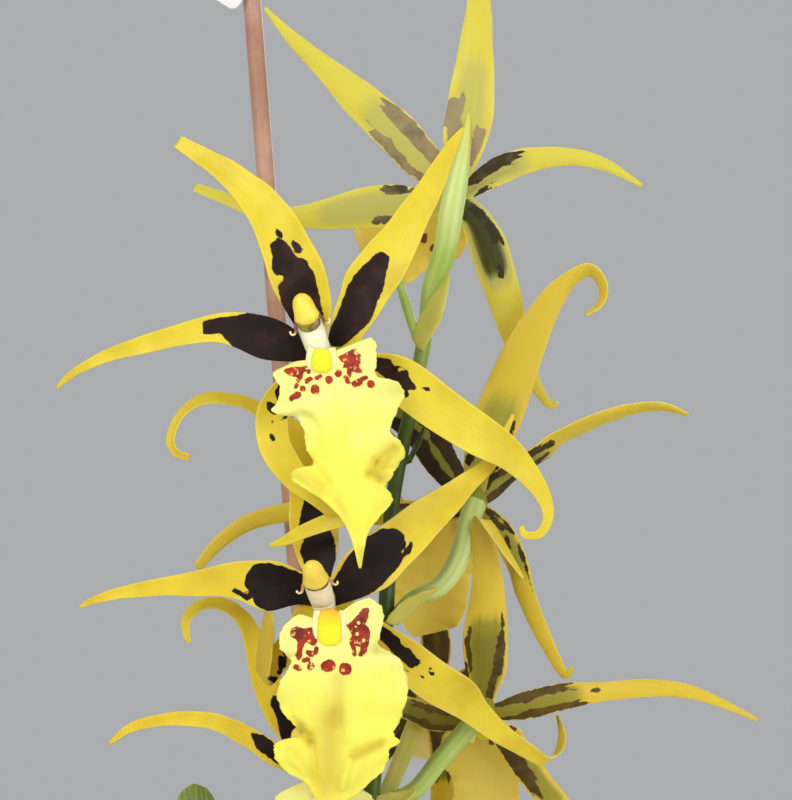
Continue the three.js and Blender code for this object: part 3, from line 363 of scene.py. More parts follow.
def add_rod(
    shape, centres, wide, deep=None, sides=20, first_side=None, ribs=0, rib_depth=0.0, values=None,
):
    """A round, oval or ribbed rod with closed ends."""
    centres = np.asarray(centres, dtype=float)
    count = len(centres)
    wide = np.broadcast_to(np.asarray(wide, dtype=float), (count,))
    deep = wide if deep is None else np.broadcast_to(np.asarray(deep, dtype=float), (count,))
    _, side, face = path_frames(centres, first_side)
    angle = np.linspace(0, 2 * np.pi, sides, endpoint=False)
    flute = 1 - rib_depth * (0.5 - 0.5 * np.cos(ribs * angle))
    x = (wide[:, None] * np.cos(angle) * flute)[..., None] * side[:, None, :]
    y = (deep[:, None] * np.sin(angle) * flute)[..., None] * face[:, None, :]
    ring = centres[:, None, :] + x + y
    points = np.concatenate([ring.reshape(-1, 3), centres[:1], centres[-1:]])
    foot = count * sides
    head = foot + 1
    top = (count - 1) * sides
    faces = []
    for k in range(sides):
        after = (k + 1) % sides
        faces.append((foot, after, k))
        faces.append((head, top + k, top + after))
        for low in range(0, top, sides):
            faces.append((low + k, low + after, low + sides + after, low + sides + k))
    known = {"along": lengths(centres), **(values or {})}
    found = {}
    for key, value in known.items():
        rings = np.broadcast_to(np.asarray(value, dtype=float), (count,))
        found[key] = np.concatenate([np.repeat(rings, sides), rings[:1], rings[-1:]])
    found["groove"] = np.concatenate([np.tile(1 - flute, count), [0, 0]])
    shape.add(points, faces, found)


def add_ball(
    shape, centre, sizes, axes=None, across=24, high=16, power=1.0, lumps=0.0, seed=0, values=None,
):
    """An ellipsoid on three axes. A power below 1 squares it off and lumps make it uneven."""
    axes = np.eye(3) if axes is None else np.array(axes, dtype=float)
    polar = np.linspace(0, np.pi, high + 1)[1:-1, None]
    around = np.linspace(0, 2 * np.pi, across, endpoint=False)[None, :]
    body = np.stack([
        np.sin(polar) * np.cos(around),
        np.sin(polar) * np.sin(around),
        np.cos(polar) * np.ones_like(around),
    ], axis=-1).reshape(-1, 3)
    body = np.concatenate([body, [[0.0, 0.0, 1.0], [0.0, 0.0, -1.0]]])
    phase = np.random.default_rng(seed).uniform(0, 6.28, 6)
    bumps = sum(np.sin(body[:, k % 3] * (2.2 + 0.7 * k) + phase[k]) for k in range(6)) / 6
    body = np.sign(body) * np.abs(body) ** power * (1 + lumps * bumps[:, None])
    points = np.asarray(centre) + (body * np.array(sizes)) @ axes
    top = len(body) - 2
    faces = []
    for k in range(across):
        after = (k + 1) % across
        last = (high - 2) * across
        faces.append((top, k, after))
        faces.append((top + 1, last + after, last + k))
        for low in range(0, last, across):
            faces.append((low + k, low + across + k, low + across + after, low + after))
    shape.add(points, faces, values or {})


# Blooms. A petal's rows are x, z, depth, width, twist; a lip's are x, z, depth, left, right,
# rise, slope. front is 1 for a bloom that faces the eye point and -1 for one that faces away.

BLOOMS = {
    # Upper bloom, facing the eye point
    "a": {
        "hub": [-10, 492, -19],
        "front": 1,
        "up": [-0.32, 0, 0.95],
        "callus": [2.4, 2.5, 3.5],
        "node": [11, 466, 0],
        "petals": [
            [
                [-11, 495.5, -20, 5.5], [-13, 503.8, -21.5, 11.5], [-16.3, 513, -22.5, 13],
                [-20, 521.3, -22, 11], [-24.5, 528.8, -20.5, 9], [-30, 534.3, -18.5, 7.2],
                [-35.5, 538.5, -16, 5.5], [-40.5, 541.5, -13.5, 4.4], [-45.5, 544.5, -11.5, 3.2],
            ],
            [
                [-13.8, 492.5, -20, 6], [-23.8, 495.5, -22, 10], [-33.8, 498, -23, 7.5],
                [-42.5, 496.8, -23, 5.5], [-52.5, 494.3, -21.5, 4.5], [-62.5, 491.3, -19, 3],
                [-71.3, 487, -16, 1.8], [-75.8, 483, -14, 0.8],
            ],
            [
                [-5.5, 493.8, -20, 6.3], [-1.3, 501.3, -22, 10], [2.5, 508.8, -23, 12],
                [7.5, 516.3, -23, 11.3], [12.5, 524.5, -21.5, 8.3], [18, 533.8, -19, 6],
                [22.5, 542.5, -16.5, 3.3], [25.8, 548, -14.5, 0.8],
            ],
            [
                [-5, 490.5, -20, 5], [1.3, 488, -21.5, 7.5], [10, 485, -22, 10.8], [20, 477.5, -20.5, 11],
                [30, 471.3, -18, 10], [38.8, 465, -15, 7], [45, 457.5, -12, 4.3], [47, 451.3, -10, 2.8],
                [45, 446.8, -9, 2.3], [41.3, 446.3, -9.5, 1.8], [40.3, 448.5, -10.5, 1.2],
            ],
            [
                [-13, 488.8, -19.5, 5.5], [-18, 482.5, -20, 7], [-21.8, 476.3, -20.5, 8],
                [-21.3, 468.8, -21, 7.5], [-17, 462, -21.5, 7, 20], [-12, 457, -22, 5.5, 35],
                [-7.5, 453, -22.5, 5, 50], [-4.8, 450.6, -22, 4.5, 64], [-8.8, 449.2, -21, 4, 60],
                [-15, 446.8, -20.5, 3.2, 50], [-18.8, 444.8, -20, 2.2, 40], [-22.5, 443.5, -19.5, 1, 30],
            ],
        ],
        "lip": [
            [-9.6, 491, -27.9, 9.5, 11.5, 0.8, 0.35], [-9.2, 489.6, -28.3, 11.6, 12.4, 1.8, 0.34],
            [-8.6, 487.2, -28.7, 12.2, 12.1, 2, 0.33], [-8, 484.6, -29, 11.4, 11.4, 1.8, 0.3],
            [-7.4, 482.6, -29.1, 12.4, 11.1, 1.2, 0.27], [-7, 481.2, -29.1, 14.3, 14.5, 0.6, 0.25],
            [-6.5, 479.4, -29, 12.9, 16.2, 0, 0.22], [-5.9, 477.6, -28.8, 10, 16, -0.3, 0.18],
            [-5.1, 474.6, -28.4, 8.8, 13.4, -0.6, 0.15], [-4.2, 471, -28, 9.1, 11.2, -0.9, 0.1],
            [-3.6, 468.4, -28, 9.4, 13.4, -1, 0.05], [-3.3, 466.4, -28, 8.9, 13.8, -1],
            [-3, 464, -28.1, 8.3, 12, -1], [-2.9, 462.6, -28.4, 12.9, 11.2, -1],
            [-2.9, 460.4, -28.8, 13.5, 10, -1], [-2.9, 458.4, -29.1, 11.2, 8.6, -1],
            [-2.8, 456, -29.4, 7.6, 10.3, -0.8], [-2.5, 453.4, -29.5, 4.8, 9.3, -0.5],
            [-1.9, 450, -29.5, 2.4, 5.8], [-1.2, 446.5, -29.3, 1.4, 3], [-0.5, 442.5, -29, 0.8, 1.5],
            [0, 438, -28.5, 0.3, 0.3],
        ],
    },
    # Lower bloom, facing the eye point
    "b": {
        "hub": [-9, 430, -19],
        "front": 1,
        "up": [-0.23, 0, 0.97],
        "lean": 42,
        "callus": [6.6, 2.9, 4.4],
        "node": [7.5, 405, 0],
        "petals": [
            [
                [-10, 435, -18.5, 5.5], [-10.8, 441.3, -16, 10], [-11.3, 448.8, -13.5, 11.5],
                [-12, 456.3, -11.5, 11], [-13.3, 463.8, -10, 9], [-15.8, 470, -9, 6.5, 10],
                [-19.5, 474.5, -8.5, 5, 25], [-24.5, 477, -8, 4.5, 38], [-30, 479.5, -8, 4.5, 45],
                [-38.8, 480, -9, 4.5, 52], [-44.5, 476.3, -9.5, 4.3, 58], [-47, 470.5, -10, 4, 62],
                [-45.8, 467, -10.5, 3, 62], [-42.5, 465.8, -11, 1.5, 50],
            ],
            [
                [-13.8, 432.5, -20, 7], [-22.5, 433.8, -22, 12], [-31.3, 435, -23, 9],
                [-40, 434.3, -22.5, 6.3], [-50, 433.3, -21, 4.3], [-60, 431.8, -18.5, 2.8],
                [-66.3, 430, -16.5, 1.8], [-70, 428.3, -15, 0.8],
            ],
            [
                [-5.5, 432.5, -20, 7], [1.3, 437.5, -21.5, 12], [8.8, 443.8, -21, 11.5],
                [17.5, 451.3, -18, 9], [26.3, 458.8, -13, 5.5], [32.5, 464.5, -8.5, 3.2],
                [36.3, 472, -5, 1.8], [38.3, 476.3, -3.5, 0.8],
            ],
            [
                [-4, 428, -20, 5.5], [4.5, 421.5, -21, 6.5], [10.8, 416.3, -20, 9],
                [18.3, 410, -17, 10.5],
                [25, 405.8, -13, 9.5], [29.5, 401.5, -9.5, 6.8], [35.8, 396.3, -5, 5],
                [42.5, 392, -1, 4.2, 15], [46.5, 390, 1.5, 4, 35], [49.5, 392.5, 4, 4, 50],
                [50.3, 396.3, 6, 3, 50], [49.3, 401, 8, 1.3, 30],
            ],
            [
                [-13, 427.5, -19.5, 5], [-16.5, 421, -19, 5.5], [-20, 416, -19, 6],
                [-23, 412.3, -19.8, 6], [-24.6, 410.6, -21.6, 6], [-24.5, 412.5, -23.2, 6],
                [-24.2, 417, -24, 6], [-23.6, 422, -24.2, 5.5], [-23, 427, -24, 3.5],
            ],
        ],
        "lip": [
            [-7.6, 428.6, -28.7, 7.5, 9.6, 0.4, 0.2], [-7.5, 426, -28.9, 10.6, 12, 1.4, 0.2],
            [-7.4, 423.6, -29.2, 11.9, 12.6, 2, 0.18], [-7.4, 420.4, -29.3, 11.9, 12, 1.8, 0.15],
            [-7.3, 417.8, -29.3, 10.6, 11.2, 1.2, 0.12], [-7.2, 415.6, -29.2, 9.5, 13.8, 0.6, 0.1],
            [-7.1, 413.4, -29, 10.6, 16.2, 0.2, 0.1], [-7, 410.4, -28.8, 12.4, 17.3, -0.4, 0.08],
            [-6.9, 406.6, -28.4, 13.2, 18, -1, 0.05], [-6.8, 402.6, -28.1, 12.2, 17, -1.2, 0.03],
            [-6.7, 399.2, -28, 10, 15.6, -1.2], [-6.6, 396.4, -28.2, 7.6, 14.2, -1.1],
            [-6.6, 394.6, -28.5, 13.2, 15.8, -1], [-6.6, 392.6, -28.8, 14.2, 13.3, -1],
            [-6.7, 390, -29.2, 13.5, 13, -1], [-6.9, 387, -29.6, 10.8, 11.8, -0.8],
            [-7.1, 384.4, -29.9, 6.2, 9, -0.4], [-7.5, 382, -30, 4.3, 7], [-8, 380, -30, 2.6, 4],
            [-8.7, 378, -30, 0.5, 0.5],
        ],
    },
    # Topmost bloom, seen from behind
    "c": {
        "hub": [23.8, 532.5, 5],
        "front": -1,
        "up": [0.1, 0, 0.99],
        "node": [16.2, 496, 0.5],
        "pedicel": [[18, 507.5, 0, 2.6], [21.2, 517.5, -1, 2.9], [23, 528, -1.2, 3]],
        "petals": [
            [
                [25, 536, 5, 5], [26.3, 545, 4, 11], [27.5, 552.5, 3.5, 11.8], [28.5, 562.5, 4, 10],
                [29.3, 572.5, 6, 7.8], [29.8, 580, 8.5, 5.8], [30, 590, 12.5, 3.8], [29.5, 599, 17, 2],
                [28, 605, 20, 0.8],
            ],
            [
                [21.5, 534.5, 5, 6], [15, 540.5, 5, 10], [8, 548, 4, 10.5], [-1, 556, 3, 9],
                [-8, 562.5, 2, 6], [-16.5, 570, 0, 3.5], [-23.8, 578, -2, 0.8],
            ],
            [
                [26.5, 532.5, 5, 4.5], [35, 537.5, 5.5, 7], [42.5, 540, 5, 6], [52.5, 540.8, 4, 4.3],
                [61.3, 538.8, 2.5, 3], [70.5, 533.5, 0, 0.8],
            ],
            [
                [21.5, 531, 6, 5.5], [17.5, 528.8, 6.5, 7], [7.5, 528.8, 7, 10.5], [-2.5, 527.5, 7, 9.5],
                [-15, 525.8, 6.5, 5.5], [-25, 527, 6, 4, 20], [-32.5, 530, 5.5, 3.6, 35],
                [-41.3, 533.3, 5, 2.6, 35],
            ],
            [
                [25.5, 529.5, 6, 5], [29.5, 524, 8, 8], [32.5, 517.5, 10, 10], [36.3, 505, 13, 8.5],
                [40, 492.5, 15, 6], [43.8, 483.8, 16, 3.3], [47.5, 478.8, 16, 2],
                [49.5, 479.5, 15.5, 0.8],
            ],
        ],
        "lip": [
            [23, 531, 13.45, 3, 4], [19.5, 527, 17, 9, 10, 1], [16, 523.5, 20, 10, 12, 1.5],
            [12, 521, 22, 9, 10, 0.5], [8, 519, 24, 9, 11, -0.5], [4, 517.5, 26, 8, 9, -1],
            [1.5, 517, 29, 6, 6, -0.5], [0.5, 516.5, 33, 0.8, 0.8],
        ],
    },
    # Middle bloom on the right, seen from behind
    "d": {
        "hub": [28.8, 454.3, 9],
        "front": -1,
        "up": [0.3, 0, 0.95],
        "node": [8.7, 426, 0],
        "pedicel": [[13, 430, 0, 2], [20, 433.5, 0.5, 2.3], [24.5, 440, 1.5, 2.5], [27, 448.5, 3, 2.6]],
        "petals": [
            [
                [28.8, 457, 9, 5.5], [31.3, 467.5, 8, 10.5], [35.8, 478.8, 7, 12], [40.5, 491.3, 6.5, 10],
                [46.8, 503.3, 6, 6.8], [52.5, 510, 6, 4.5, 20], [57.5, 512.3, 6, 4, 40],
                [60.5, 508.3, 5.5, 4, 50], [59.8, 504, 5, 3, 50], [56.3, 501.3, 4.5, 1, 40],
            ],
            [
                [26.5, 456.5, 9.5, 5], [20, 465, 9, 9], [16.3, 471.3, 8.5, 9.5], [11.3, 475.5, 8, 8.5],
                [3, 481, 7, 6.5], [-5, 486, 6.5, 4], [-12, 490, 6, 1.2],
            ],
            [
                [30.5, 455.8, 9.5, 4.5], [37.5, 461.3, 9, 7, 45], [45, 466.3, 8, 7.5, 52],
                [50, 470, 7, 7.2, 54], [57.5, 473.8, 5.5, 6, 50], [66.3, 477, 3.5, 4.5, 45],
                [75, 478.3, 1.5, 3, 40], [82, 476.3, 0, 1, 30],
            ],
            [
                [30, 452.5, 10, 4], [35, 447.5, 10.5, 5.8], [38.8, 440, 11, 6, 15],
                [41.3, 431.3, 11, 5.2, 20],
                [45, 422.5, 10.5, 4.4, 25], [48.8, 415, 10, 3.2, 25], [51.3, 411.3, 9.5, 2.2, 20],
                [53.3, 413, 9, 0.8],
            ],
            [
                [26.5, 453, 9.5, 4.5], [17, 451.5, 8, 6.5], [5, 452, 6.5, 6.5], [-7, 452.8, 5.5, 6],
                [-17.5, 452, 5, 4.8], [-27.5, 449.5, 4.5, 4.2], [-35, 444.5, 4, 3.4],
                [-40.8, 438, 3, 2.2],
            ],
        ],
        "lip": [
            [28, 452, 17.35, 3, 3], [25.5, 448, 19, 12, 10, 1.5], [23, 444, 19.5, 12.5, 10, 1.5],
            [21, 440, 20, 8, 8, 0.5], [19, 435, 20.5, 9, 9, -0.5], [17, 430, 20.5, 10, 10, -1],
            [15, 425.5, 20.5, 7, 8, -0.5], [13.5, 421, 20.5, 0.8, 0.8],
        ],
    },
    # Lower bloom on the right, seen from behind
    "e": {
        "hub": [31, 402.5, 8],
        "front": -1,
        "up": [0.05, 0, 1],
        "node": [2.5, 380, 0],
        "pedicel": [[7, 380, 0, 2], [13.8, 382.5, 0, 2.3], [20, 390, 0.8, 2.4], [27, 398, 2.2, 2.5]],
        "petals": [
            [
                [31, 405.5, 7, 5.5], [31.5, 412.5, 5.5, 10], [31.5, 420, 4, 11.5], [32, 430, 2, 9],
                [31.8, 437.5, 0.5, 7], [30.8, 445, -1, 5.8], [30.4, 449.6, -2.4, 4.8],
                [31.6, 449, -4.2, 4.4], [35, 443.8, -4.8, 4], [38, 439.5, -4.4, 2.5],
                [40.8, 435.5, -4, 0.8],
            ],
            [
                [28.5, 404.5, 8, 4.5], [21, 408, 8, 7], [14, 411.5, 7.5, 7], [6, 414.5, 7, 5],
                [-2, 417.5, 6.5, 3.5], [-10, 419.5, 6.5, 1],
            ],
            [
                [33, 402, 7, 3.5], [40, 403.3, 5, 6.5], [50, 405.8, 2, 6.8], [60, 407, 0, 4.8],
                [72.5, 408, -2, 4.3], [82.5, 407, -3, 3.3], [91.3, 403.8, -3.5, 2], [99.3, 400, -4, 0.8],
            ],
            [
                [32.5, 400, 9.5, 4], [38.8, 392, 11, 7], [45, 383.8, 12, 7], [50, 378, 12, 6],
                [56, 368, 11, 4], [60, 358, 9.5, 2.3], [62, 350, 8, 0.8],
            ],
            [
                [28.5, 400.5, 8.5, 4.5], [20, 400, 9, 6.5], [13, 402.5, 8.5, 6], [5, 405.5, 7.5, 4.5],
                [-2, 408.5, 7, 3], [-8, 411, 6.5, 1],
            ],
        ],
        "lip": [
            [31, 400.4, 16.1, 3, 3], [31, 396, 19, 10, 10, 1.5], [31, 391, 20, 11, 11, 1.5],
            [31.5, 386, 21, 9, 9, 0.5], [31.5, 381, 22, 8.5, 8.5, -0.5], [31.5, 375, 23, 10, 10, -1],
            [31.5, 369, 24, 11, 11, -1], [31.5, 362, 24.5, 8, 8, -0.5], [31.5, 356, 25, 3, 3],
            [31.5, 352, 25, 0.6, 0.6],
        ],
    },
    # Bloom behind the lower lip, facing the eye point
    "f": {
        "hub": [-9.5, 386.3, -9],
        "front": 1,
        "up": [-0.4, 0, 0.91],
        "node": [1.2, 355, 1],
        "petals": [
            [
                [-11, 390, -9.5, 5.5], [-15, 396.3, -10.5, 8.5], [-19, 402, -11.5, 9],
                [-23, 408.8, -12, 7.5],
                [-25.5, 416.3, -12, 5.5], [-27.5, 422, -12, 4.5, 20], [-30, 426, -12, 4, 35],
                [-34.5, 428.8, -12, 4, 45], [-39.3, 428.8, -12.5, 3.8, 52], [-43, 425.5, -13, 3.5, 58],
                [-43.3, 421.8, -13.5, 2.5, 58], [-42.5, 419.3, -14, 1.3, 50],
            ],
            [
                [-13, 388, -10, 5], [-20.8, 391.3, -11.5, 5.5], [-27.5, 395.5, -12, 5],
                [-33, 398.3, -12, 4.4], [-38.3, 400, -12, 4], [-47.5, 400.3, -11, 3.2],
                [-56.8, 398.3, -9, 2.3], [-62.8, 394, -7.5, 0.8],
            ],
            [
                [-6.5, 384.5, -10, 5], [-2, 379.5, -11, 8], [4, 372, -11.5, 9], [11, 364, -11.5, 7.5],
                [19, 357, -11, 5.5], [28, 351, -10, 3.8], [37, 347, -8, 2.2], [44, 346, -6, 0.8],
            ],
            [
                [-8.5, 382.8, -9.5, 5], [-6.5, 374, -10, 8.5], [-3.5, 364, -10.5, 9.5],
                [0.5, 353, -11.5, 7.5],
                [4, 342, -12.5, 5.5], [8.5, 333, -13, 3.6], [15, 327.5, -13, 2], [20, 328, -12.5, 0.8],
            ],
            [
                [-12, 383.5, -9.5, 5], [-16.5, 375.5, -10.5, 8], [-21, 366.5, -11, 9],
                [-26.5, 356, -11.5, 7],
                [-33, 346, -11.5, 5], [-41, 338.5, -11, 3.4], [-50, 335.5, -10, 2], [-56, 337.5, -9, 0.8],
            ],
        ],
        "lip": [
            [-9.3, 385.5, -17.9, 2.5, 3, 0.5], [-9, 381.5, -18.3, 11, 11, 1.5],
            [-8.5, 377, -18.6, 12, 12, 1], [-8, 372.5, -18.6, 10, 10, 0.3],
            [-7.5, 367.5, -18.4, 9.5, 9.5, -0.5],
            [-7, 362.5, -18.4, 11, 11, -1], [-6.5, 357.5, -18.6, 13, 13, -1],
            [-6, 352.5, -19, 12, 12, -1],
            [-5.7, 348, -19.3, 8, 8, -0.5], [-5.5, 343, -19.5, 3.5, 3.5], [-5.3, 337.5, -19.5, 0.5, 0.5],
        ],
    },
    # Bloom at the back of the stem, facing away
    "g": {
        "hub": [16.3, 405, 20],
        "front": -1,
        "up": [0.1, 0, 1],
        "node": [2.2, 372.5, 0],
        "petals": [
            [
                [16.8, 409, 20.5, 5], [19, 416, 23.5, 7.5], [18.5, 424, 26.5, 7.5],
                [16.5, 432, 29.5, 6.5],
                [14, 441, 32, 5], [11.5, 450, 34.5, 3], [10, 456, 36.5, 0.8],
            ],
            [
                [13.5, 406, 20.5, 5], [6, 409, 22, 8], [-1, 411.5, 24, 7], [-7, 412.5, 27, 5],
                [-12, 412.5, 31, 3], [-15, 411.5, 35, 0.8],
            ],
            [
                [19, 405.5, 21, 5], [25, 408, 25, 7.5], [30, 411, 30, 8], [33, 413, 36, 7],
                [34.5, 414, 43, 5], [35, 414, 50, 3], [35, 413, 56, 0.8],
            ],
            [
                [18, 402.3, 21, 4.5], [20.5, 395, 26, 6.5], [21, 387.5, 31, 7], [20.5, 380, 34, 6],
                [19, 372, 35.5, 4.5], [17, 364, 36, 2.5], [16, 357, 36, 0.8],
            ],
            [
                [14, 402.5, 20.5, 4.5], [9, 397, 22, 7], [4, 391, 24, 7], [-1, 385, 25, 5.5],
                [-5, 378, 26, 4], [-8, 371, 27, 2], [-9, 366, 27.5, 0.8],
            ],
        ],
        "lip": [
            [15.5, 403, 28.3, 3, 3], [14.5, 400.5, 32, 8, 6, 1], [14, 398, 35, 9, 7, 1],
            [14, 396, 39, 6, 6, 0.5], [14.5, 394.5, 43, 8, 8, -0.5], [15.5, 393, 48, 9, 9, -0.5],
            [16.5, 391.5, 53, 6, 6, -0.5], [17.5, 390, 58, 0.6, 0.6],
        ],
    },
}

# Dark marks of the tepals, in the order of the petals
TEPAL_MARKS = {
    "a": [
        [
            [
                (-20.5, 520.1), (-18.3, 519.6), (-17, 517.1), (-15.9, 515.5), (-13.2, 515.8),
                (-12.7, 513.6), (-11.4, 512), (-10.6, 508.8), (-9.7, 504.3), (-9.3, 502.1),
                (-8.7, 497.6), (-8.5, 492), (-14.5, 492), (-17, 498.9), (-19.5, 503.7),
                (-20.7, 508.5), (-19.4, 509.4), (-19.1, 511.5), (-20.8, 510.6), (-22.4, 512.9),
                (-21.8, 515.5), (-22.7, 519),
            ],
            (-20.4, 521.9, 0.9, -20, 520.9, 0.9),
            (-16.5, 519, 0.9, -15.2, 517.9, 1),
            (-19.9, 515.9, -0.5),
            (-19.8, 514.8, -0.5),
        ],
        [
            [
                (-39.2, 499.6), (-37.7, 500.4), (-31.3, 501), (-27.8, 502), (-20, 501), (-12, 496),
                (-11.9, 489.2), (-20.2, 488.6), (-24.6, 489.8), (-28.8, 491.1), (-31.3, 492.4),
                (-33.3, 494.8), (-34.5, 496.5), (-36.4, 496.4), (-39.3, 496.4),
            ],
        ],
        [
            [
                (5.3, 517.2), (7.9, 515.9), (7.2, 514), (6.6, 511.1), (5.8, 507.3), (4.3, 504.1),
                (3.6, 501.2), (1.8, 498.6), (-0.8, 496.3), (-3.6, 493.9), (-6.2, 492.3),
                (-8.1, 495.1), (-7.1, 499), (-5.2, 502.8), (-3.1, 508.5), (-0.8, 512), (2.1, 514.9),
                (3.7, 516.5),
            ],
        ],
        [
            [
                (-4, 491.5), (3.6, 490.8), (7.3, 490.5), (8.9, 488.3), (9.3, 486.5), (9.9, 487),
                (10.3, 489.1), (12, 487.3), (12.7, 484.4), (14.3, 484.1), (14.4, 482.7),
                (13, 481.9), (12.4, 480.6), (10.4, 480.3), (9.2, 482.8), (6.9, 485.1), (3.8, 487.3),
                (-4, 488.5),
            ],
            (16.4, 483.3, 0.5, 17, 482.4, 0.8),
            (11.6, 482.6, -0.5),
        ],
        [
            (-13, 489, 3, -17.5, 484.5, 3),
            (-20.2, 482.1, 1.2, -19.9, 480.8, 1.2),
            (-22.8, 478.6, 1, -21.4, 477.6, 1.3),
            (-21.8, 474.7, 0.5),
            (-19.4, 475.2, 0.5, -18.3, 475.7, 0.4),
            (-22.3, 471.4, 0.6, -21.8, 470.3, 0.7),
        ],
    ],
    "b": [
        [
            [
                (-12.7, 457.3), (-10.2, 455.4), (-7.3, 451.7), (-8.3, 450.1), (-6.7, 446.3),
                (-6, 443.4), (-6, 439.3), (-6.2, 435.8), (-6.5, 431), (-12.5, 431), (-13.4, 437),
                (-14, 439), (-15.1, 442.1), (-14.2, 444.7), (-15.4, 448.5), (-14.6, 452.7),
                (-13.7, 455.9),
            ],
            (-9, 450.8, -0.4),
        ],
        [
            [
                (-29, 434.8), (-28, 437.4), (-26.8, 438.8), (-24.8, 439.3), (-22.9, 439.4),
                (-20.7, 439), (-17.5, 438), (-13, 436), (-10, 431), (-12, 426), (-18.2, 425.6),
                (-20.4, 425.4), (-21.7, 427.3), (-23.9, 427.2), (-26.1, 428.7), (-27.1, 431.3),
                (-28.7, 433.2),
            ],
            (-31.8, 432.6, 0.4, -28.2, 430.7, 0.9),
        ],
        [
            [
                (-6.5, 428), (-7.5, 434), (-5.4, 437), (-3.8, 439.8), (-1.9, 442.4), (1.3, 445.6),
                (5.1, 447.8), (8.6, 448), (10.5, 446.9), (11.8, 444.4), (10.5, 442.1), (10.5, 439.6),
                (9.3, 437.7), (6.7, 434.8), (4.2, 432.4), (0.7, 430.4), (-2.8, 428.7), (-4.8, 427.5),
            ],
            (13, 444.2, 0.6, 11.5, 441.5, 0.8),
            (6.2, 433.1, -0.5),
        ],
        [
            [
                (-4, 429), (4, 424), (5.4, 424.1), (7.4, 422.4), (10.2, 420.4), (10.2, 418.5),
                (12.5, 418.5), (13.4, 416.3), (15.3, 414.7), (14.7, 413.8), (12.1, 413.1),
                (10.5, 414.7), (8.6, 416.3), (6.4, 418.9), (4.2, 420.8), (-2, 423),
            ],
            (10.5, 412.3, 0.6),
            (12.8, 412.5, 0.4),
            (14.6, 411.2, 0.4, 15.8, 410.4, 0.4),
            (17.2, 413.4, 0.5, 18.2, 411.5, 0.6),
            (20.5, 410.1, 0.4),
            (11.2, 415.6, -0.5),
        ],
        [
            (-18.8, 417, 0.7, -18.3, 415.9, 0.5),
            (-19.8, 415.4, 0.8, -19.3, 413.8, 1.1),
            (-22.4, 410.4, 0.6, -20.9, 409.8, 1),
            (-20.2, 411.9, 0.7),
            (-20.6, 408.4, 0.5),
        ],
    ],
    "c": [
        [
            (22, 549, 1.3, 23.6, 554, 1.6),
            (29.4, 547, 0.7, 30.2, 546, 0.9),
            (27.5, 537.4, 0.5),
        ],
        [],
        [],
        [
            [(5.9, 533.5), (8.5, 533.9), (11.9, 533.6), (12, 531.8), (9, 532), (6.3, 532.6)],
            [(2.8, 526), (6, 526.1), (9.5, 526), (9.4, 524.6), (6, 524.8), (3, 525.1)],
            (0.5, 531.2, 0.5),
            (-5.9, 529.3, 0.5),
            (13.8, 532.6, 0.7),
        ],
        [
            (27.6, 528, 0.7, 30, 526.4, 1.1),
            (30.9, 524.3, 0.8, 33.1, 521.9, 0.9),
            (34.1, 520.6, 0.7, 33.2, 518.6, 0.5),
            (34.6, 514, 0.6, 35.4, 511, 0.8),
            (31.2, 516, 0.5),
        ],
    ],
    "d": [
        [
            (38.7, 475, 0.4, 37.4, 470.9, 0.7),
            (28.2, 467.2, 1, 27.1, 464.3, 0.9),
            (35.1, 464.5, 0.4, 34.3, 463, 0.5),
            (34.5, 461.5, 0.5, 32.7, 456.5, 0.7),
        ],
        [],
        [
            (31.7, 458.3, 0.7, 33.1, 462, 0.5),
            (31.2, 454.4, 0.6, 41.5, 460.6, 0.9),
            (42.3, 466.4, 0.5, 48, 469.5, 0.7),
        ],
        [
            (30.5, 453.4, 0.7, 32.6, 451.9, 0.8),
            (33.2, 450.6, 0.7, 35.4, 448.1, 0.8),
            (36.3, 446.3, 0.5, 37.4, 443, 0.6),
        ],
        [],
    ],
    "e": [
        [
            (26.6, 420.4, 0.5, 27.2, 416.5, 0.7),
            (26.2, 414.3, 0.5, 26.9, 409.5, 0.7),
            (35, 420.4, 0.7, 34.1, 414.3, 0.8),
            (33.9, 412.5, 1, 31.8, 404.4, 0.9),
        ],
        [],
        [
            (58, 407.4, 0.6, 59.8, 407.5, 0.5),
        ],
        [
            (35, 394.5, 0.9, 40.9, 389.3, 1),
            (42, 387.8, 0.6, 43.4, 385.6, 0.8),
        ],
        [],
    ],
    "f": [
        [
            [
                (-22, 406.5), (-20, 405.9), (-18.6, 402.9), (-16, 400.4), (-14, 395), (-9, 390),
                (-14, 387), (-19.5, 395), (-20.4, 397.8), (-21, 401), (-22.4, 404),
            ],
        ],
        [
            [
                (-27.5, 397), (-24, 396.4), (-20.8, 393.8), (-12, 390), (-12, 385), (-20, 388.6),
                (-26, 392.8),
            ],
        ],
        [],
        [(-6.8, 381, 1), (-3.9, 380.4, 0.8), (-5.6, 377.6, 0.7), (-7.4, 376.4, 0.6)],
        [(-14.4, 382.6, 0.9), (-16.6, 379.9, 0.8), (-14.8, 378.2, 0.7)],
    ],
    "g": [[], [], [], [], []],
}

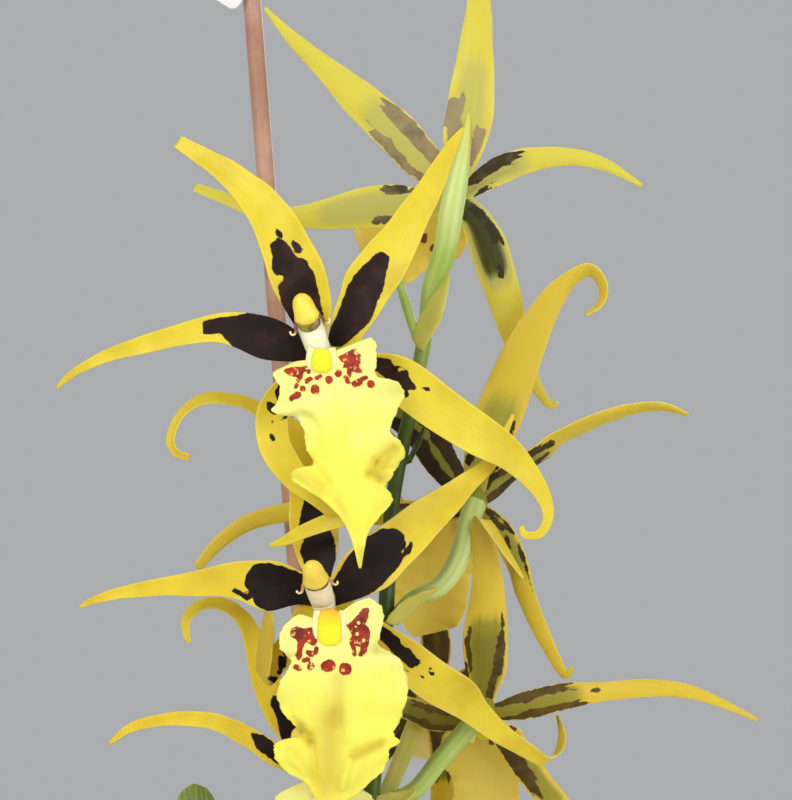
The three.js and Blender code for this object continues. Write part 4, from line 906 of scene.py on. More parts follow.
# Dark bands along the two sides of a petal, from its root on: the shares of its length up to
# which its two sides are dark, the half widths of the light band between them, the light margin,
# the strength of the olive tone along the middle, the share where that ends, and how faint the
# dark is
NO_BAND = (-5, -5)
BANDS = {
    "c": [
        ((0.2, 0.29), (1.7, 1.5), 1.0, 0.8, 0.5, 1.0), ((0.42, 0.42), (0.7, 2.6), 0.3, 0.9, 0.55, 0.75),
        ((0.2, 0.36), (1.8, 0.2), 0.1, 1.3, 0.46, 0.05), ((0.3, 0.34), (2.6, 3.7), 0.8, 1.0, 0.6, 0.35),
        ((0.16, 0.26), (2.0, 1.7), 0.8, 2.0, 0.48, 0.0),
    ],
    "d": [
        ((0.0, 0.0), (2.0, 2.0), 1.0, 0.9, 0.42, 0.0), ((0.6, 0.6), (0.9, 0.7), 0.1, 1.5, 0.7, 0.1),
        ((0.36, 0.34), (0.6, 1.5), 0.05, 1.4, 0.44, 0.3), ((0.12, 0.5), (1.2, 1.8), 0.4, 1.0, 0.5, 0.3),
        ((0.3, 0.3), (1.0, 1.0), 0.8, 0.8, 0.4, 0.3),
    ],
    "e": [
        ((0.38, 0.35), (3.3, 3.7), 1.0, 1.7, 0.4, 0.3), ((0.5, 0.5), (1.1, 1.1), 0.3, 1.7, 0.6, 0.6),
        ((0.37, 0.34), (1.5, 0.9), 0.05, 1.4, 0.42, 0.4), ((0.42, 0.12), (0.2, 1.4), 0.4, 1.0, 0.6, 0.4),
        ((0.5, 0.5), (1.1, 1.1), 0.3, 1.7, 0.6, 0.6),
    ],
    "f": [
        None, None, ((0.45, 0.45), NO_BAND, 0.9, 0.0, 0.5, 0.0),
        ((0.42, 0.42), NO_BAND, 1.1, 0.0, 0.5, 0.0), ((0.4, 0.4), NO_BAND, 1.2, 0.0, 0.5, 0.0),
    ],
    "g": [((0.45, 0.45), (0.7, 0.7), 0.5, 1.8, 0.5, 0.5)] * 5,
}

# Red marks of the lips
LIP_MARKS = {
    "a": [
        [
            (-19.4, 487.3), (-17.9, 488.1), (-14.7, 488.3), (-12.2, 488.9), (-12.2, 487.6),
            (-12.5, 486.3), (-13.8, 487), (-14.7, 485.1), (-15.7, 482.8), (-17, 482.2),
            (-15.7, 485.4), (-18.3, 486.4),
        ],
        (-16.9, 480.6, 0.8, -15.6, 481.3, 1),
        (-14.4, 482.8, 0.8),
        (-13.4, 484.5, 0.6, -12.4, 485.3, 0.6),
        (-10.9, 485.4, 0.5, -10, 486, 0.5),
        (-11.2, 482.9, 1, -11.2, 482.4, 1.1),
        (-7.7, 485.1, 1),
        (-5.5, 486.4, 0.8, -5.2, 487, 0.7),
        (-3.6, 485.7, 0.6, -3.1, 484.5, 0.6),
        (-1.1, 484.1, 0.9, -0.4, 484.4, 1),
        (0.3, 485.2, 0.5, 1.6, 485.6, 0.5),
        (2.8, 484, 1.05),
        [
            (-5.5, 490.7), (-3.3, 491.8), (-0.9, 493.2), (-0.6, 491.8), (0.6, 491.3), (0.1, 490.5),
            (0.4, 489.2), (-0.4, 488.7), (0.6, 487), (-0.4, 486.7), (-2, 487), (-2.3, 485.7),
            (-3.3, 486.7), (-2.9, 487.9), (-4.5, 487.9), (-3.9, 489.2), (-5.2, 490.2),
        ],
        (-13.2, 487.7, -0.35),
    ],
    "b": [
        [
            (-17.2, 423), (-15.9, 423.3), (-13.4, 423), (-10.8, 423.3), (-10.5, 422), (-10.8, 420.8),
            (-10.5, 419.5), (-11.5, 418.5), (-13.4, 419.5), (-14.3, 417.9), (-14.5, 416),
            (-15.3, 414.9), (-16.2, 416.3), (-15.6, 418.5), (-15.9, 419.8), (-17.5, 421.1),
        ],
        (-13.1, 417.1, 0.5, -12.2, 416.6, 0.8),
        (-11.2, 416.9, 0.6, -10.8, 418, 0.5),
        (-13.9, 414.9, 0.6, -12.9, 415.2, 0.5),
        (-16, 413.2, 0.7, -15.2, 412.8, 0.7),
        (-12.3, 413.4, 0.9),
        (-8.3, 413.5, 1.5, -7.6, 413.8, 1.5),
        (-3.6, 412.8, 1.6),
        [
            (-3.6, 423.8), (-2.2, 424.6), (-0.6, 425.9), (0.7, 427.8), (2.3, 427.8), (2.3, 426.2),
            (1.3, 424), (2.4, 422.7), (2.6, 420.8), (1.9, 417.6), (0.7, 415.7), (-0.3, 416.3),
            (0.3, 418.2), (-0.9, 418.5), (-1.1, 416), (-1.7, 416), (-2.2, 418.2), (-2.5, 420.1),
            (-1.9, 421.4), (-2.8, 422.7),
        ],
        (-0.3, 424.3, -0.5),
        (-0.7, 421.5, -0.45),
        (1, 419.9, -0.45),
        (-12.8, 421.8, -0.3),
        (-12.2, 419.8, -0.3),
    ],
    "c": [
        (16.3, 521.2, 0.6, 16, 520.2, 0.9),
        (20.2, 521.6, 0.7, 19.9, 519.6, 0.9),
        (18.5, 518, 1.05),
    ],
    "d": [
        [(13.6, 458.6), (16.5, 459.2), (18.6, 457.6), (20.5, 455.9), (17, 455.2), (13.8, 456)],
    ],
    "e": [(37.6, 397.6, 1, 38.9, 398.9, 0.8), (28, 396, 1), (33, 394.6, 0.9)],
    "f": [(-12.6, 377.6, 1.2), (-5.2, 380.8, 1.3), (-11, 375.6, 1.3), (-6.2, 375.4, 1.4), (-15, 377, 0.9)],
    "g": [(12.4, 399, 0.9), (17, 399.6, 0.8)],
}

# Places where the outline of a lip lies higher or lower: x, z, x, z, half width, height
LIP_SHIFTS = {
    "a": [(-20, 486.6, -17, 487.2, 3.2, 2.8)],
    "b": [(-8.8, 428.4, -8, 428.6, 5, -3.2)],
}

# Ridges and grooves of the lips: x, z, x, z, half width, height
LIP_CREASES = {
    "a": [
        (-8.6, 485.5, -1, 446, 1.5, -0.55),
        (-11.6, 480, -5.5, 459, 1.3, 0.35),
        (-4.2, 481, 1.6, 458, 1.3, 0.35),
        (2.2, 461.6, 4, 464.6, 1.0, -1.3),
        (4, 464.6, 8.6, 467.6, 1.2, -1.4),
        (5.5, 461, 8.6, 464.5, 1.2, 1.1),
        (4.4, 470, 8, 472, 1.6, 0.8),
        (-11.8, 464.2, -8.5, 459.5, 1.1, -1.1),
        (-14.8, 461.6, -11, 458.4, 1.2, 0.8),
        (-17.5, 480, -12, 477.5, 1.4, 0.7),
        (-14, 476, -10.5, 473, 1.2, -0.7),
        (4.8, 453.8, 6.6, 456.6, 1.2, 0.7),
    ],
    "b": [
        (-4.7, 411.5, -4.7, 397, 0.5, -0.6),
        (-9, 407, -9, 398, 0.5, -0.35),
        (-12.8, 394.8, -16.4, 399.8, 1.1, -1.3),
        (-12.2, 396, -11, 384, 1.0, -1.4),
        (-17.6, 391.5, -14, 387, 1.5, 1.0),
        (-2, 391.6, 5.6, 394.6, 1.0, -1.3),
        (-2, 395.4, 4.4, 398.8, 1.6, 0.8),
        (-6.4, 401, -7.8, 384, 2.6, -1.2),
        (-2.6, 390, -4.4, 383.4, 1.0, 0.9),
        (1.6, 386.4, 4, 390, 1.4, 0.7),
        (3.4, 405, 6.6, 409, 2.4, 0.6),
        (-16, 404, -14.6, 409, 2.2, 0.6),
    ],
}

# Painted shade in the folds of the lips: x, z, x, z, half width, strength
LIP_PAINTED_SHADE = {
    "a": [
        (5.4, 463.6, 8.6, 467.6, 2.6, 0.75),
        (2.4, 461.6, 4.8, 460.6, 1.3, 0.85),
        (-14.4, 461.4, -9.5, 457.8, 1.5, 0.45),
        (0.4, 443, 0.2, 439, 0.9, 0.6),
        (-5.6, 455, -3, 448, 1.2, 0.3),
    ],
    "b": [
        (-7.6, 400, -8.2, 383, 3.9, 0.8),
        (-14.8, 398.6, -12.6, 394.4, 1.4, 0.85),
        (-5.4, 411, -6, 400, 2.0, 0.45),
        (-17, 393, -13.4, 387, 1.8, 0.3),
        (-1.4, 390.8, 5.2, 393.8, 1.2, 0.9),
        (1, 387.4, -2.4, 383.5, 1.8, 0.4),
        (4.4, 421, 4, 417.6, 1, 0.4),
    ],
}


# Materials

def linear(code):
    """A colour for the shader from its six hex digits."""
    parts = [int(code[i:i + 2], 16) / 255 for i in (0, 2, 4)]
    return [c / 12.92 if c <= 0.04045 else ((c + 0.055) / 1.055) ** 2.4 for c in parts] + [1.0]


class Paint:
    """A material with one surface shader, and short ways to add the nodes that feed it."""

    def __init__(self, name, roughness=0.5, glow=0.0, depth=0.0, coat=0.0, specular=0.5):
        self.material = bpy.data.materials.new(name)
        self.material.use_nodes = True
        self.tree = self.material.node_tree
        self.tree.nodes.clear()
        self.shader = self.node("ShaderNodeBsdfPrincipled")
        output = self.node("ShaderNodeOutputMaterial")
        self.tree.links.new(self.shader.outputs[0], output.inputs[0])
        self.shader.inputs["Roughness"].default_value = roughness
        self.shader.inputs["Specular IOR Level"].default_value = specular
        self.shader.inputs["Coat Weight"].default_value = coat
        self.shader.inputs["Coat Roughness"].default_value = 0.15
        self.shader.inputs["Subsurface Weight"].default_value = glow
        self.shader.inputs["Subsurface Radius"].default_value = (1.0, 0.7, 0.25)
        self.shader.inputs["Subsurface Scale"].default_value = depth

    def node(self, kind):
        return self.tree.nodes.new(kind)

    def feed(self, socket, value):
        if isinstance(value, bpy.types.NodeSocket):
            self.tree.links.new(value, socket)
        elif isinstance(value, str):
            socket.default_value = linear(value)
        else:
            socket.default_value = value

    def value(self, name):
        node = self.node("ShaderNodeAttribute")
        node.attribute_name = name
        return node.outputs["Fac"]

    def math(self, kind, a, b=0.0, c=0.0):
        node = self.node("ShaderNodeMath")
        node.operation = kind
        for socket, number in zip(node.inputs, (a, b, c)):
            self.feed(socket, number)
        return node.outputs[0]

    def step(self, value, low, high, start=0.0, end=1.0):
        """From start to end as the value goes from low to high, eased at both."""
        node = self.node("ShaderNodeMapRange")
        node.interpolation_type = "SMOOTHSTEP"
        self.feed(node.inputs["Value"], value)
        for name, number in (("From Min", low), ("From Max", high), ("To Min", start), ("To Max", end)):
            node.inputs[name].default_value = number
        return node.outputs["Result"]

    def place(self):
        return self.node("ShaderNodeTexCoord").outputs["Object"]

    def vector(self, x, y, z=0.0):
        node = self.node("ShaderNodeCombineXYZ")
        for socket, number in zip(node.inputs, (x, y, z)):
            self.feed(socket, number)
        return node.outputs[0]

    def noise(self, scale, detail=3.0, vector=None, roughness=0.5):
        node = self.node("ShaderNodeTexNoise")
        self.feed(node.inputs["Vector"], self.place() if vector is None else vector)
        node.inputs["Scale"].default_value = scale
        node.inputs["Detail"].default_value = detail
        node.inputs["Roughness"].default_value = roughness
        return node.outputs["Fac"]

    def cells(self, scale, vector=None):
        node = self.node("ShaderNodeTexVoronoi")
        self.feed(node.inputs["Vector"], self.place() if vector is None else vector)
        node.inputs["Scale"].default_value = scale
        return node.outputs["Distance"]

    def mix(self, share, first, second):
        node = self.node("ShaderNodeMix")
        node.data_type = "RGBA"
        self.feed(node.inputs[0], share)
        self.feed(node.inputs[6], first)
        self.feed(node.inputs[7], second)
        return node.outputs[2]

    def finish(self, colour, height=None, strength=0.3, distance=0.0005, roughness=None):
        self.feed(self.shader.inputs["Base Color"], colour)
        if roughness is not None:
            self.feed(self.shader.inputs["Roughness"], roughness)
        if height is not None:
            node = self.node("ShaderNodeBump")
            node.inputs["Strength"].default_value = strength
            node.inputs["Distance"].default_value = distance
            self.feed(node.inputs["Height"], height)
            self.feed(self.shader.inputs["Normal"], node.outputs[0])
        return self.material


def marked(paint, rough, sharp):
    """1 inside the marks and 0 outside, with an uneven outline."""
    uneven = paint.math("MULTIPLY", paint.math("SUBTRACT", paint.noise(620.0, 3.0), 0.5), rough)
    return paint.step(paint.math("ADD", paint.value("mark"), uneven), -sharp, sharp)


def tepal_paint(name, inner_face, outer_face, edge_line, rough=0.9):
    """Yellow blades with dark marks. The inner face has two dark and two yellow tones. The outer
    face has a yellow, a dark and a faint dark tone and two olive ones for its middle."""
    dark, light_dark, base, deep = inner_face
    back, back_dark, back_faint, middle, deep_middle = outer_face
    paint = Paint(name, roughness=0.48, glow=0.3, depth=0.0009, specular=0.22)
    along = paint.value("along")
    across = paint.value("across")
    edge = paint.value("edge")
    inside = paint.value("inside")
    grain = paint.vector(paint.math("MULTIPLY", across, 1.1), paint.math("MULTIPLY", along, 0.07))
    streaks = paint.noise(1.0, 3.0, grain)
    soft = paint.noise(90.0, 2.0)
    yellow = paint.mix(paint.step(soft, 0.38, 0.75, 0.0, 0.7), base, deep)
    yellow = paint.mix(paint.step(streaks, 0.45, 0.75, 0.0, 0.14), yellow, deep)
    outer = paint.mix(paint.step(streaks, 0.4, 0.75, 0.0, 0.25), back, deep)
    olive = paint.math("ADD", paint.value("olive"), paint.step(streaks, 0.3, 0.8, -0.1, 0.1))
    outer = paint.mix(paint.step(olive, 0.2, 1.0), outer, middle)
    outer = paint.mix(paint.step(olive, 1.0, 2.0), outer, deep_middle)
    ground = paint.mix(inside, outer, yellow)
    ground = paint.mix(paint.step(edge, 0.88, 1.0, 0.0, 0.4), ground, edge_line)
    marks = marked(paint, rough, 0.1)
    mottle = paint.step(paint.noise(170.0, 3.0), 0.4, 0.8)
    brown = paint.mix(mottle, dark, light_dark)
    patchy = paint.step(paint.noise(240.0, 3.0), 0.3, 0.7, -0.2, 0.2)
    faint = paint.math("ADD", paint.value("faint"), patchy)
    outer_brown = paint.mix(paint.step(faint, 0.0, 1.0), back_dark, back_faint)
    brown = paint.mix(inside, outer_brown, brown)
    colour = paint.mix(marks, ground, brown)
    veins = paint.math("MULTIPLY", paint.math("SINE", paint.math("MULTIPLY", across, 5.0)), 0.12)
    height = paint.math("ADD", veins, paint.math("MULTIPLY", paint.noise(700.0, 2.0), 0.5))
    return paint.finish(colour, height, 0.12, 0.0003, paint.step(marks, 0.0, 1.0, 0.42, 0.58))


def lip_paint(name, base, deep, fold, back, red, dark_red):
    paint = Paint(name, roughness=0.5, glow=0.3, depth=0.0011, specular=0.3)
    inside = paint.value("inside")
    share = paint.value("share")
    pleat = paint.value("pleat")
    grain = paint.vector(
        paint.math("MULTIPLY", paint.value("across"), 0.9),
        paint.math("MULTIPLY", paint.value("along"), 0.08),
    )
    streaks = paint.noise(1.0, 4.0, grain)
    # Painted shade: deeper yellow in the troughs of the pleats on the lower lip.
    low = paint.math("MULTIPLY", paint.step(share, 0.45, 0.95), paint.step(pleat, 0.0, -1.0))
    # Painted soft highlight: the lip is paler towards its root, broken up by noise.
    soft = paint.math("MULTIPLY_ADD", paint.noise(75.0, 2.0), 0.5, share)
    face = paint.mix(paint.step(streaks, 0.5, 0.8, 0.0, 0.2), base, deep)
    face = paint.mix(paint.step(soft, 0.45, 0.85, 0.75, 0.0), face, "FBF59A")
    face = paint.mix(paint.math("MULTIPLY", low, 0.3), face, deep)
    # The fold colour is painted shade, laid into the lips' folds by the shade strokes.
    face = paint.mix(paint.math("MULTIPLY", paint.value("shade"), 0.9), face, fold)
    outer = paint.mix(paint.step(streaks, 0.4, 0.8, 0.0, 0.35), back, deep)
    ground = paint.mix(inside, outer, face)
    callus = paint.value("callus")
    ground = paint.mix(paint.step(callus, 0.3, 0.7), ground, "F8EC28")
    ground = paint.mix(paint.step(callus, 1.3, 1.7), ground, "FFF8AC")
    ground = paint.mix(paint.math("MULTIPLY", paint.value("warm"), 0.85), ground, "FFA92C")
    halo = marked(paint, 1.1, 0.5)
    marks = marked(paint, 0.9, 0.08)
    ground = paint.mix(paint.math("MULTIPLY", halo, 0.45), ground, "EFA038")
    tone = paint.mix(paint.step(paint.noise(420.0, 3.0), 0.4, 0.7), red, dark_red)
    tone = paint.mix(inside, "7A4416", tone)
    cuts = paint.step(paint.noise(900.0, 2.0), 0.6, 0.68, 1.0, 0.15)
    colour = paint.mix(paint.math("MULTIPLY", marks, cuts), ground, tone)
    height = paint.math("MULTIPLY_ADD", streaks, 0.5, paint.math("MULTIPLY", paint.noise(500.0, 2.0), 0.4))
    return paint.finish(colour, height, 0.14, 0.0003)


def column_paint(name, cream, warm, cap, cavity, wing_foot):
    """One value says what is shown: 0 the trunk, 1 the cap, 2 the cavity, 3 the wings."""
    paint = Paint(name, roughness=0.38, glow=0.3, depth=0.0015, specular=0.5, coat=0.15)
    kind = paint.value("kind")
    mottle = paint.noise(500.0, 3.0)
    trunk = paint.mix(paint.step(mottle, 0.35, 0.7, 0.0, 0.6), cream, warm)
    top = paint.mix(paint.step(mottle, 0.35, 0.7, 0.0, 0.4), cap, "EFC444")
    hollow = paint.mix(paint.step(mottle, 0.4, 0.65), cavity, "7A5A1C")
    wing = paint.mix(paint.step(paint.value("share"), 0.35, 0.7), wing_foot, "F6E8A4")
    colour = paint.mix(paint.step(kind, 0.4, 0.6), trunk, top)
    colour = paint.mix(paint.step(kind, 1.4, 1.6), colour, hollow)
    colour = paint.mix(paint.step(kind, 2.4, 2.6), colour, wing)
    gloss = paint.step(paint.math("ABSOLUTE", paint.math("SUBTRACT", kind, 2.0)), 0.3, 0.7, 0.12, 0.42)
    return paint.finish(colour, mottle, 0.15, 0.0003, gloss)


def stem_paint():
    """Green stems: tone is 0 for dark wood, 1 for pale flower stalks and 2 for papery bracts."""
    paint = Paint("stem_green", roughness=0.42, glow=0.15, depth=0.0012, specular=0.4, coat=0.06)
    tone = paint.value("tone")
    patches = paint.noise(70.0, 4.0)
    fine = paint.noise(520.0, 4.0)
    dark = paint.mix(paint.step(patches, 0.35, 0.65), "2C3A12", "4C6418")
    pale = paint.mix(paint.step(patches, 0.3, 0.7), "A6BC4C", "C3D674")
    bract = paint.mix(paint.step(patches, 0.3, 0.7), "D2C856", "E2D96C")
    colour = paint.mix(paint.step(tone, 0.0, 1.0), dark, pale)
    colour = paint.mix(paint.step(tone, 1.0, 1.35), colour, "D8E592")
    colour = paint.mix(paint.step(tone, 1.5, 1.9), colour, bract)
    colour = paint.mix(paint.step(paint.value("groove"), 0.02, 0.1, 0.0, 0.25), colour, "86A03E")
    colour = paint.mix(paint.value("fade"), colour, "D8CE58")
    specks = paint.step(paint.cells(1400.0), 0.0, 0.2, 0.12, 0.0)
    colour = paint.mix(specks, colour, "6F6A2C")
    return paint.finish(colour, fine, 0.12, 0.0003)


def leaf_paint():
    paint = Paint("leaf_green", roughness=0.34, glow=0.12, depth=0.0015, specular=0.5, coat=0.1)
    across = paint.value("across")
    along = paint.value("along")
    edge = paint.value("edge")
    grain = paint.vector(paint.math("MULTIPLY", across, 0.55), paint.math("MULTIPLY", along, 0.02))
    streaks = paint.noise(1.0, 5.0, grain, 0.6)
    broad = paint.noise(22.0, 3.0)
    top = paint.mix(paint.step(streaks, 0.3, 0.72), "2F5A1C", "5B8A2F")
    top = paint.mix(paint.step(broad, 0.4, 0.75, 0.0, 0.55), top, "6F9638")
    under = paint.mix(paint.step(streaks, 0.35, 0.7), "6C8F3F", "86A552")
    colour = paint.mix(paint.value("inside"), under, top)
    colour = paint.mix(paint.step(edge, 0.0, 0.07, 0.5, 0.0), colour, "9DBB55")
    colour = paint.mix(paint.step(edge, 0.9, 1.0, 0.0, 0.35), colour, "9AA84A")
    uneven = paint.math("MULTIPLY_ADD", streaks, 0.05, paint.value("share"))
    colour = paint.mix(paint.step(uneven, 0.995, 1.02), colour, "83903A")
    colour = paint.mix(paint.step(paint.cells(160.0), 0.0, 0.09, 0.5, 0.0), colour, "7A7F35")
    veins = paint.math("SINE", paint.math("MULTIPLY", across, 4.2))
    height = paint.math("MULTIPLY_ADD", veins, 0.35, streaks)
    return paint.finish(colour, height, 0.3, 0.0005)


def bulb_paint():
    paint = Paint("bulb_green", roughness=0.4, glow=0.1, depth=0.002, coat=0.08)
    share = paint.value("share")
    patches = paint.noise(45.0, 4.0)
    fine = paint.noise(420.0, 4.0)
    colour = paint.mix(paint.step(patches, 0.3, 0.7), "5F7F2C", "8FA244")
    colour = paint.mix(paint.step(share, 0.55, 1.0, 0.0, 0.55), colour, "A9AE4C")
    colour = paint.mix(paint.step(paint.value("groove"), 0.01, 0.08, 0.0, 0.5), colour, "47602A")
    colour = paint.mix(paint.step(paint.cells(210.0), 0.0, 0.12, 0.6, 0.0), colour, "5E5326")
    return paint.finish(colour, paint.math("ADD", fine, patches), 0.35, 0.0006)


def sheath_paint():
    """Dry papery sheaths round the feet of the bulbs and leaves."""
    paint = Paint("dry_sheath", roughness=0.75)
    grain = paint.vector(paint.math("MULTIPLY", paint.value("turn"), 9.0), paint.value("along"))
    fibres = paint.noise(1.0, 5.0, grain, 0.65)
    colour = paint.mix(paint.step(fibres, 0.3, 0.7), "8A6B42", "CDB487")
    colour = paint.mix(paint.step(paint.noise(90.0, 4.0), 0.45, 0.7, 0.0, 0.7), colour, "5F4528")
    return paint.finish(colour, fibres, 0.6, 0.0008)


def bark_paint():
    paint = Paint("bark_chips", roughness=0.88)
    layers = paint.noise(260.0, 5.0, roughness=0.7)
    broad = paint.noise(38.0, 4.0)
    colour = paint.mix(paint.step(broad, 0.35, 0.65), "4E3220", "8A5A38")
    colour = paint.mix(paint.step(layers, 0.42, 0.72), colour, "A9794F")
    colour = paint.mix(paint.step(paint.noise(120.0, 4.0), 0.6, 0.75, 0.0, 0.5), colour, "B7AE96")
    # The filling under the chips has tone 1 and comes out darkest: painted shade in the gaps between the
    # chips. The chips' own lower tones vary at random.
    colour = paint.mix(paint.step(paint.value("tone"), 0.0, 1.0, 0.0, 0.6), colour, "2E2016")
    return paint.finish(colour, paint.math("ADD", layers, broad), 0.9, 0.0016)


def clay_paint():
    paint = Paint("clay", roughness=0.82)
    broad = paint.noise(16.0, 5.0)
    fine = paint.noise(900.0, 3.0)
    colour = paint.mix(paint.step(broad, 0.35, 0.65), "A85A3C", "C07350")
    colour = paint.mix(paint.step(fine, 0.4, 0.75, 0.0, 0.35), colour, "D29A7A")
    bloom = paint.math("MULTIPLY", paint.noise(30.0, 6.0, roughness=0.65), paint.noise(9.0, 3.0))
    colour = paint.mix(paint.step(bloom, 0.27, 0.42, 0.0, 0.6), colour, "E2CDBB")
    # Darker towards the bottom of the pot.
    bottom_band = paint.math("MULTIPLY_ADD", broad, 0.03, paint.value("rise"))
    colour = paint.mix(paint.step(bottom_band, 0.012, 0.034, 0.45, 0.0), colour, "6E3E2A")
    colour = paint.mix(paint.step(paint.value("inner"), 0.4, 0.6, 0.0, 0.6), colour, "7B4632")
    turning = paint.math("SINE", paint.math("MULTIPLY", paint.value("rise"), 5200.0))
    height = paint.math("MULTIPLY_ADD", turning, 0.12, paint.math("ADD", fine, broad))
    rough = paint.step(fine, 0.3, 0.7, 0.74, 0.9)
    return paint.finish(colour, height, 0.3, 0.0006, rough)


def cane_paint():
    paint = Paint("cane", roughness=0.46, specular=0.4)
    grain = paint.vector(
        paint.math("MULTIPLY", paint.value("turn"), 3.5),
        paint.math("MULTIPLY", paint.value("along"), 0.05),
    )
    fibres = paint.noise(1.0, 6.0, grain, 0.65)
    colour = paint.mix(paint.step(fibres, 0.3, 0.7), "A87A62", "C69C84")
    colour = paint.mix(paint.step(paint.noise(35.0, 3.0), 0.5, 0.75, 0.0, 0.45), colour, "8E6450")
    colour = paint.mix(paint.step(paint.value("ring"), 0.2, 0.8), colour, "6F4B3A")
    return paint.finish(colour, fibres, 0.3, 0.0004)


def tie_paint():
    paint = Paint("tie_cord", roughness=0.7)
    twist = paint.math("SINE", paint.math("MULTIPLY", paint.value("along"), 9.0))
    fine = paint.noise(1500.0, 3.0)
    colour = paint.mix(paint.step(twist, -0.6, 0.6), "2C4528", "466B3E")
    colour = paint.mix(paint.step(fine, 0.45, 0.75, 0.0, 0.4), colour, "6E8E5E")
    return paint.finish(colour, paint.math("ADD", twist, fine), 0.5, 0.0004)


def tag_paint():
    paint = Paint("tag_white", roughness=0.42, glow=0.15, depth=0.001)
    dust = paint.noise(60.0, 5.0)
    colour = paint.mix(paint.step(dust, 0.45, 0.75), "F2F1EC", "DEDCD2")
    colour = paint.mix(paint.step(paint.noise(260.0, 5.0), 0.62, 0.75, 0.0, 0.35), colour, "C9C3AF")
    return paint.finish(colour, dust, 0.08, 0.0003, paint.step(dust, 0.3, 0.7, 0.36, 0.55))


# Blooms

A_TEPALS = tepal_paint(
    "tepals_a",
    ("210F0A", "40251D", "E6D23C", "D2B82C"),
    ("C8B63A", "5C4034", "6E5642", "9C9A36", "7A7A26"),
    "EEDC58",
)
B_TEPALS = tepal_paint(
    "tepals_b",
    ("150804", "26120A", "E6CE38", "D0B02A"),
    ("C4A832", "46351E", "5A4A2A", "8A8A2C", "6A6A22"),
    "E2D07A",
)
C_TEPALS = tepal_paint(
    "tepals_c",
    ("2E1E16", "4A3228", "E8D842", "D6C238"),
    ("D6CA4A", "372D12", "A08E66", "BDB65E", "45430F"),
    "EFE48C",
    1.4,
)
D_TEPALS = tepal_paint(
    "tepals_d",
    ("24170C", "43301A", "EACF3C", "D0B42E"),
    ("D2B938", "34260C", "6A541F", "9C9838", "6C6424"),
    "E6D476",
    1.3,
)
E_TEPALS = tepal_paint(
    "tepals_e",
    ("24170C", "43301A", "EACF3C", "D0B42E"),
    ("D8BC3C", "46340E", "715A1E", "9A902C", "7C721E"),
    "E6D476",
    1.5,
)
# The bloom behind the stem takes darker colours all over: painted shade.
G_SHADED_TEPALS = tepal_paint(
    "tepals_g_shaded",
    ("24170C", "43301A", "DEC234", "C6A42A"),
    ("C9AC30", "3A2C0C", "54421A", "7A6E22", "54481A"),
    "B8A44A",
)
TEPAL_PAINTS = {
    "a": A_TEPALS, "b": B_TEPALS, "c": C_TEPALS, "d": D_TEPALS, "e": E_TEPALS, "f": B_TEPALS,
    "g": G_SHADED_TEPALS,
}
# The fourth colour of each lip is the painted shade of its folds.
FRONT_LIP = lip_paint("lip_front", "F5ED58", "E4CE48", "CDB53E", "D8B83E", "B8300F", "8A2412")
SPOTTED_LIP = lip_paint("lip_spotted", "F5ED58", "E4CE48", "CDB53E", "D8B83E", "A83014", "6E2018")
BACK_LIP = lip_paint("lip_back", "FCEE50", "E0C648", "D8BE44", "E8D058", "A8391E", "7E2A1C")
LIP_PAINTS = {"b": SPOTTED_LIP, "c": BACK_LIP, "d": BACK_LIP, "e": BACK_LIP, "g": BACK_LIP}
BRIGHT_COLUMN = column_paint("column_bright", "FFFCDC", "FFF4BC", "FFE450", "8F8A2E", "6A3E1C")
WARM_COLUMN = column_paint("column_warm", "FFF0D2", "F6DAAE", "F8DA4C", "6E4A1E", "C09048")
COLUMN_PAINTS = {"a": BRIGHT_COLUMN, "c": BRIGHT_COLUMN}

# The column. Each row holds the distance up and forward from the hub and the half sizes across
# and deep; a wing's rows hold the distances up, forward and sideways and the half width.
TRUNK_ROWS = [
    [-4.5, 5.35, 1.4, 1.25], [-2.5, 5.62, 2.4, 1.98], [0.5, 5.92, 2.9, 2.08], [3.2, 6.8, 3.05, 2.1],
    [5.8, 7.7, 3.1, 2.15], [8, 8.4, 2.7, 2.0], [9.6, 8.8, 1.8, 1.6],
]
CAP_ROWS = [
    [8.4, 9.1, 2.1, 1.6], [8.5, 9.4, 3.05, 2.5], [9.1, 9.5, 3.0, 2.5], [10.3, 9.6, 2.7, 2.45],
    [11.8, 9.6, 2.5, 2.3], [13.1, 9.6, 2.05, 1.9], [14, 9.6, 1.25, 1.2], [14.4, 9.6, 0.3, 0.3],
]
WING_ROWS = [
    [8.8, 9.3, 2.7, 0.3], [7.8, 9.8, 3.1, 0.42], [6.6, 10.2, 3.5, 0.4], [5.7, 10.7, 3.9, 0.3],
    [5.5, 11.2, 4.5, 0.24], [6, 11.4, 4.9, 0.2], [6.5, 11.3, 4.8, 0.18],
]
CAVITY = (6.9, 9.7)
CAVITY_SIZES = (2.75, 1.15, 2.0)
WING_THICKNESS = 0.26
HUB_SIZES = (3.1, 3.1, 3.9)
HUB_FACTS = {"mark": -2.0, "share": 0.3, "olive": 1.2}
PETAL_ROOT = 0.7

# The callus: a pad and two ridges. Its usual place and size are the drop below the lip's root and
# the half sizes across and up.
CALLUS_USUAL = (3.2, 2.4, 3.4)
CALLUS_LIFT = 1.2
PAD_DEPTH = 1.1
PAD_AHEAD = 0.9
PAD_HEIGHTS = {"a": 0.8}
RIDGED_LIPS = ("a", "b")
WARM_LIPS = ("b",)


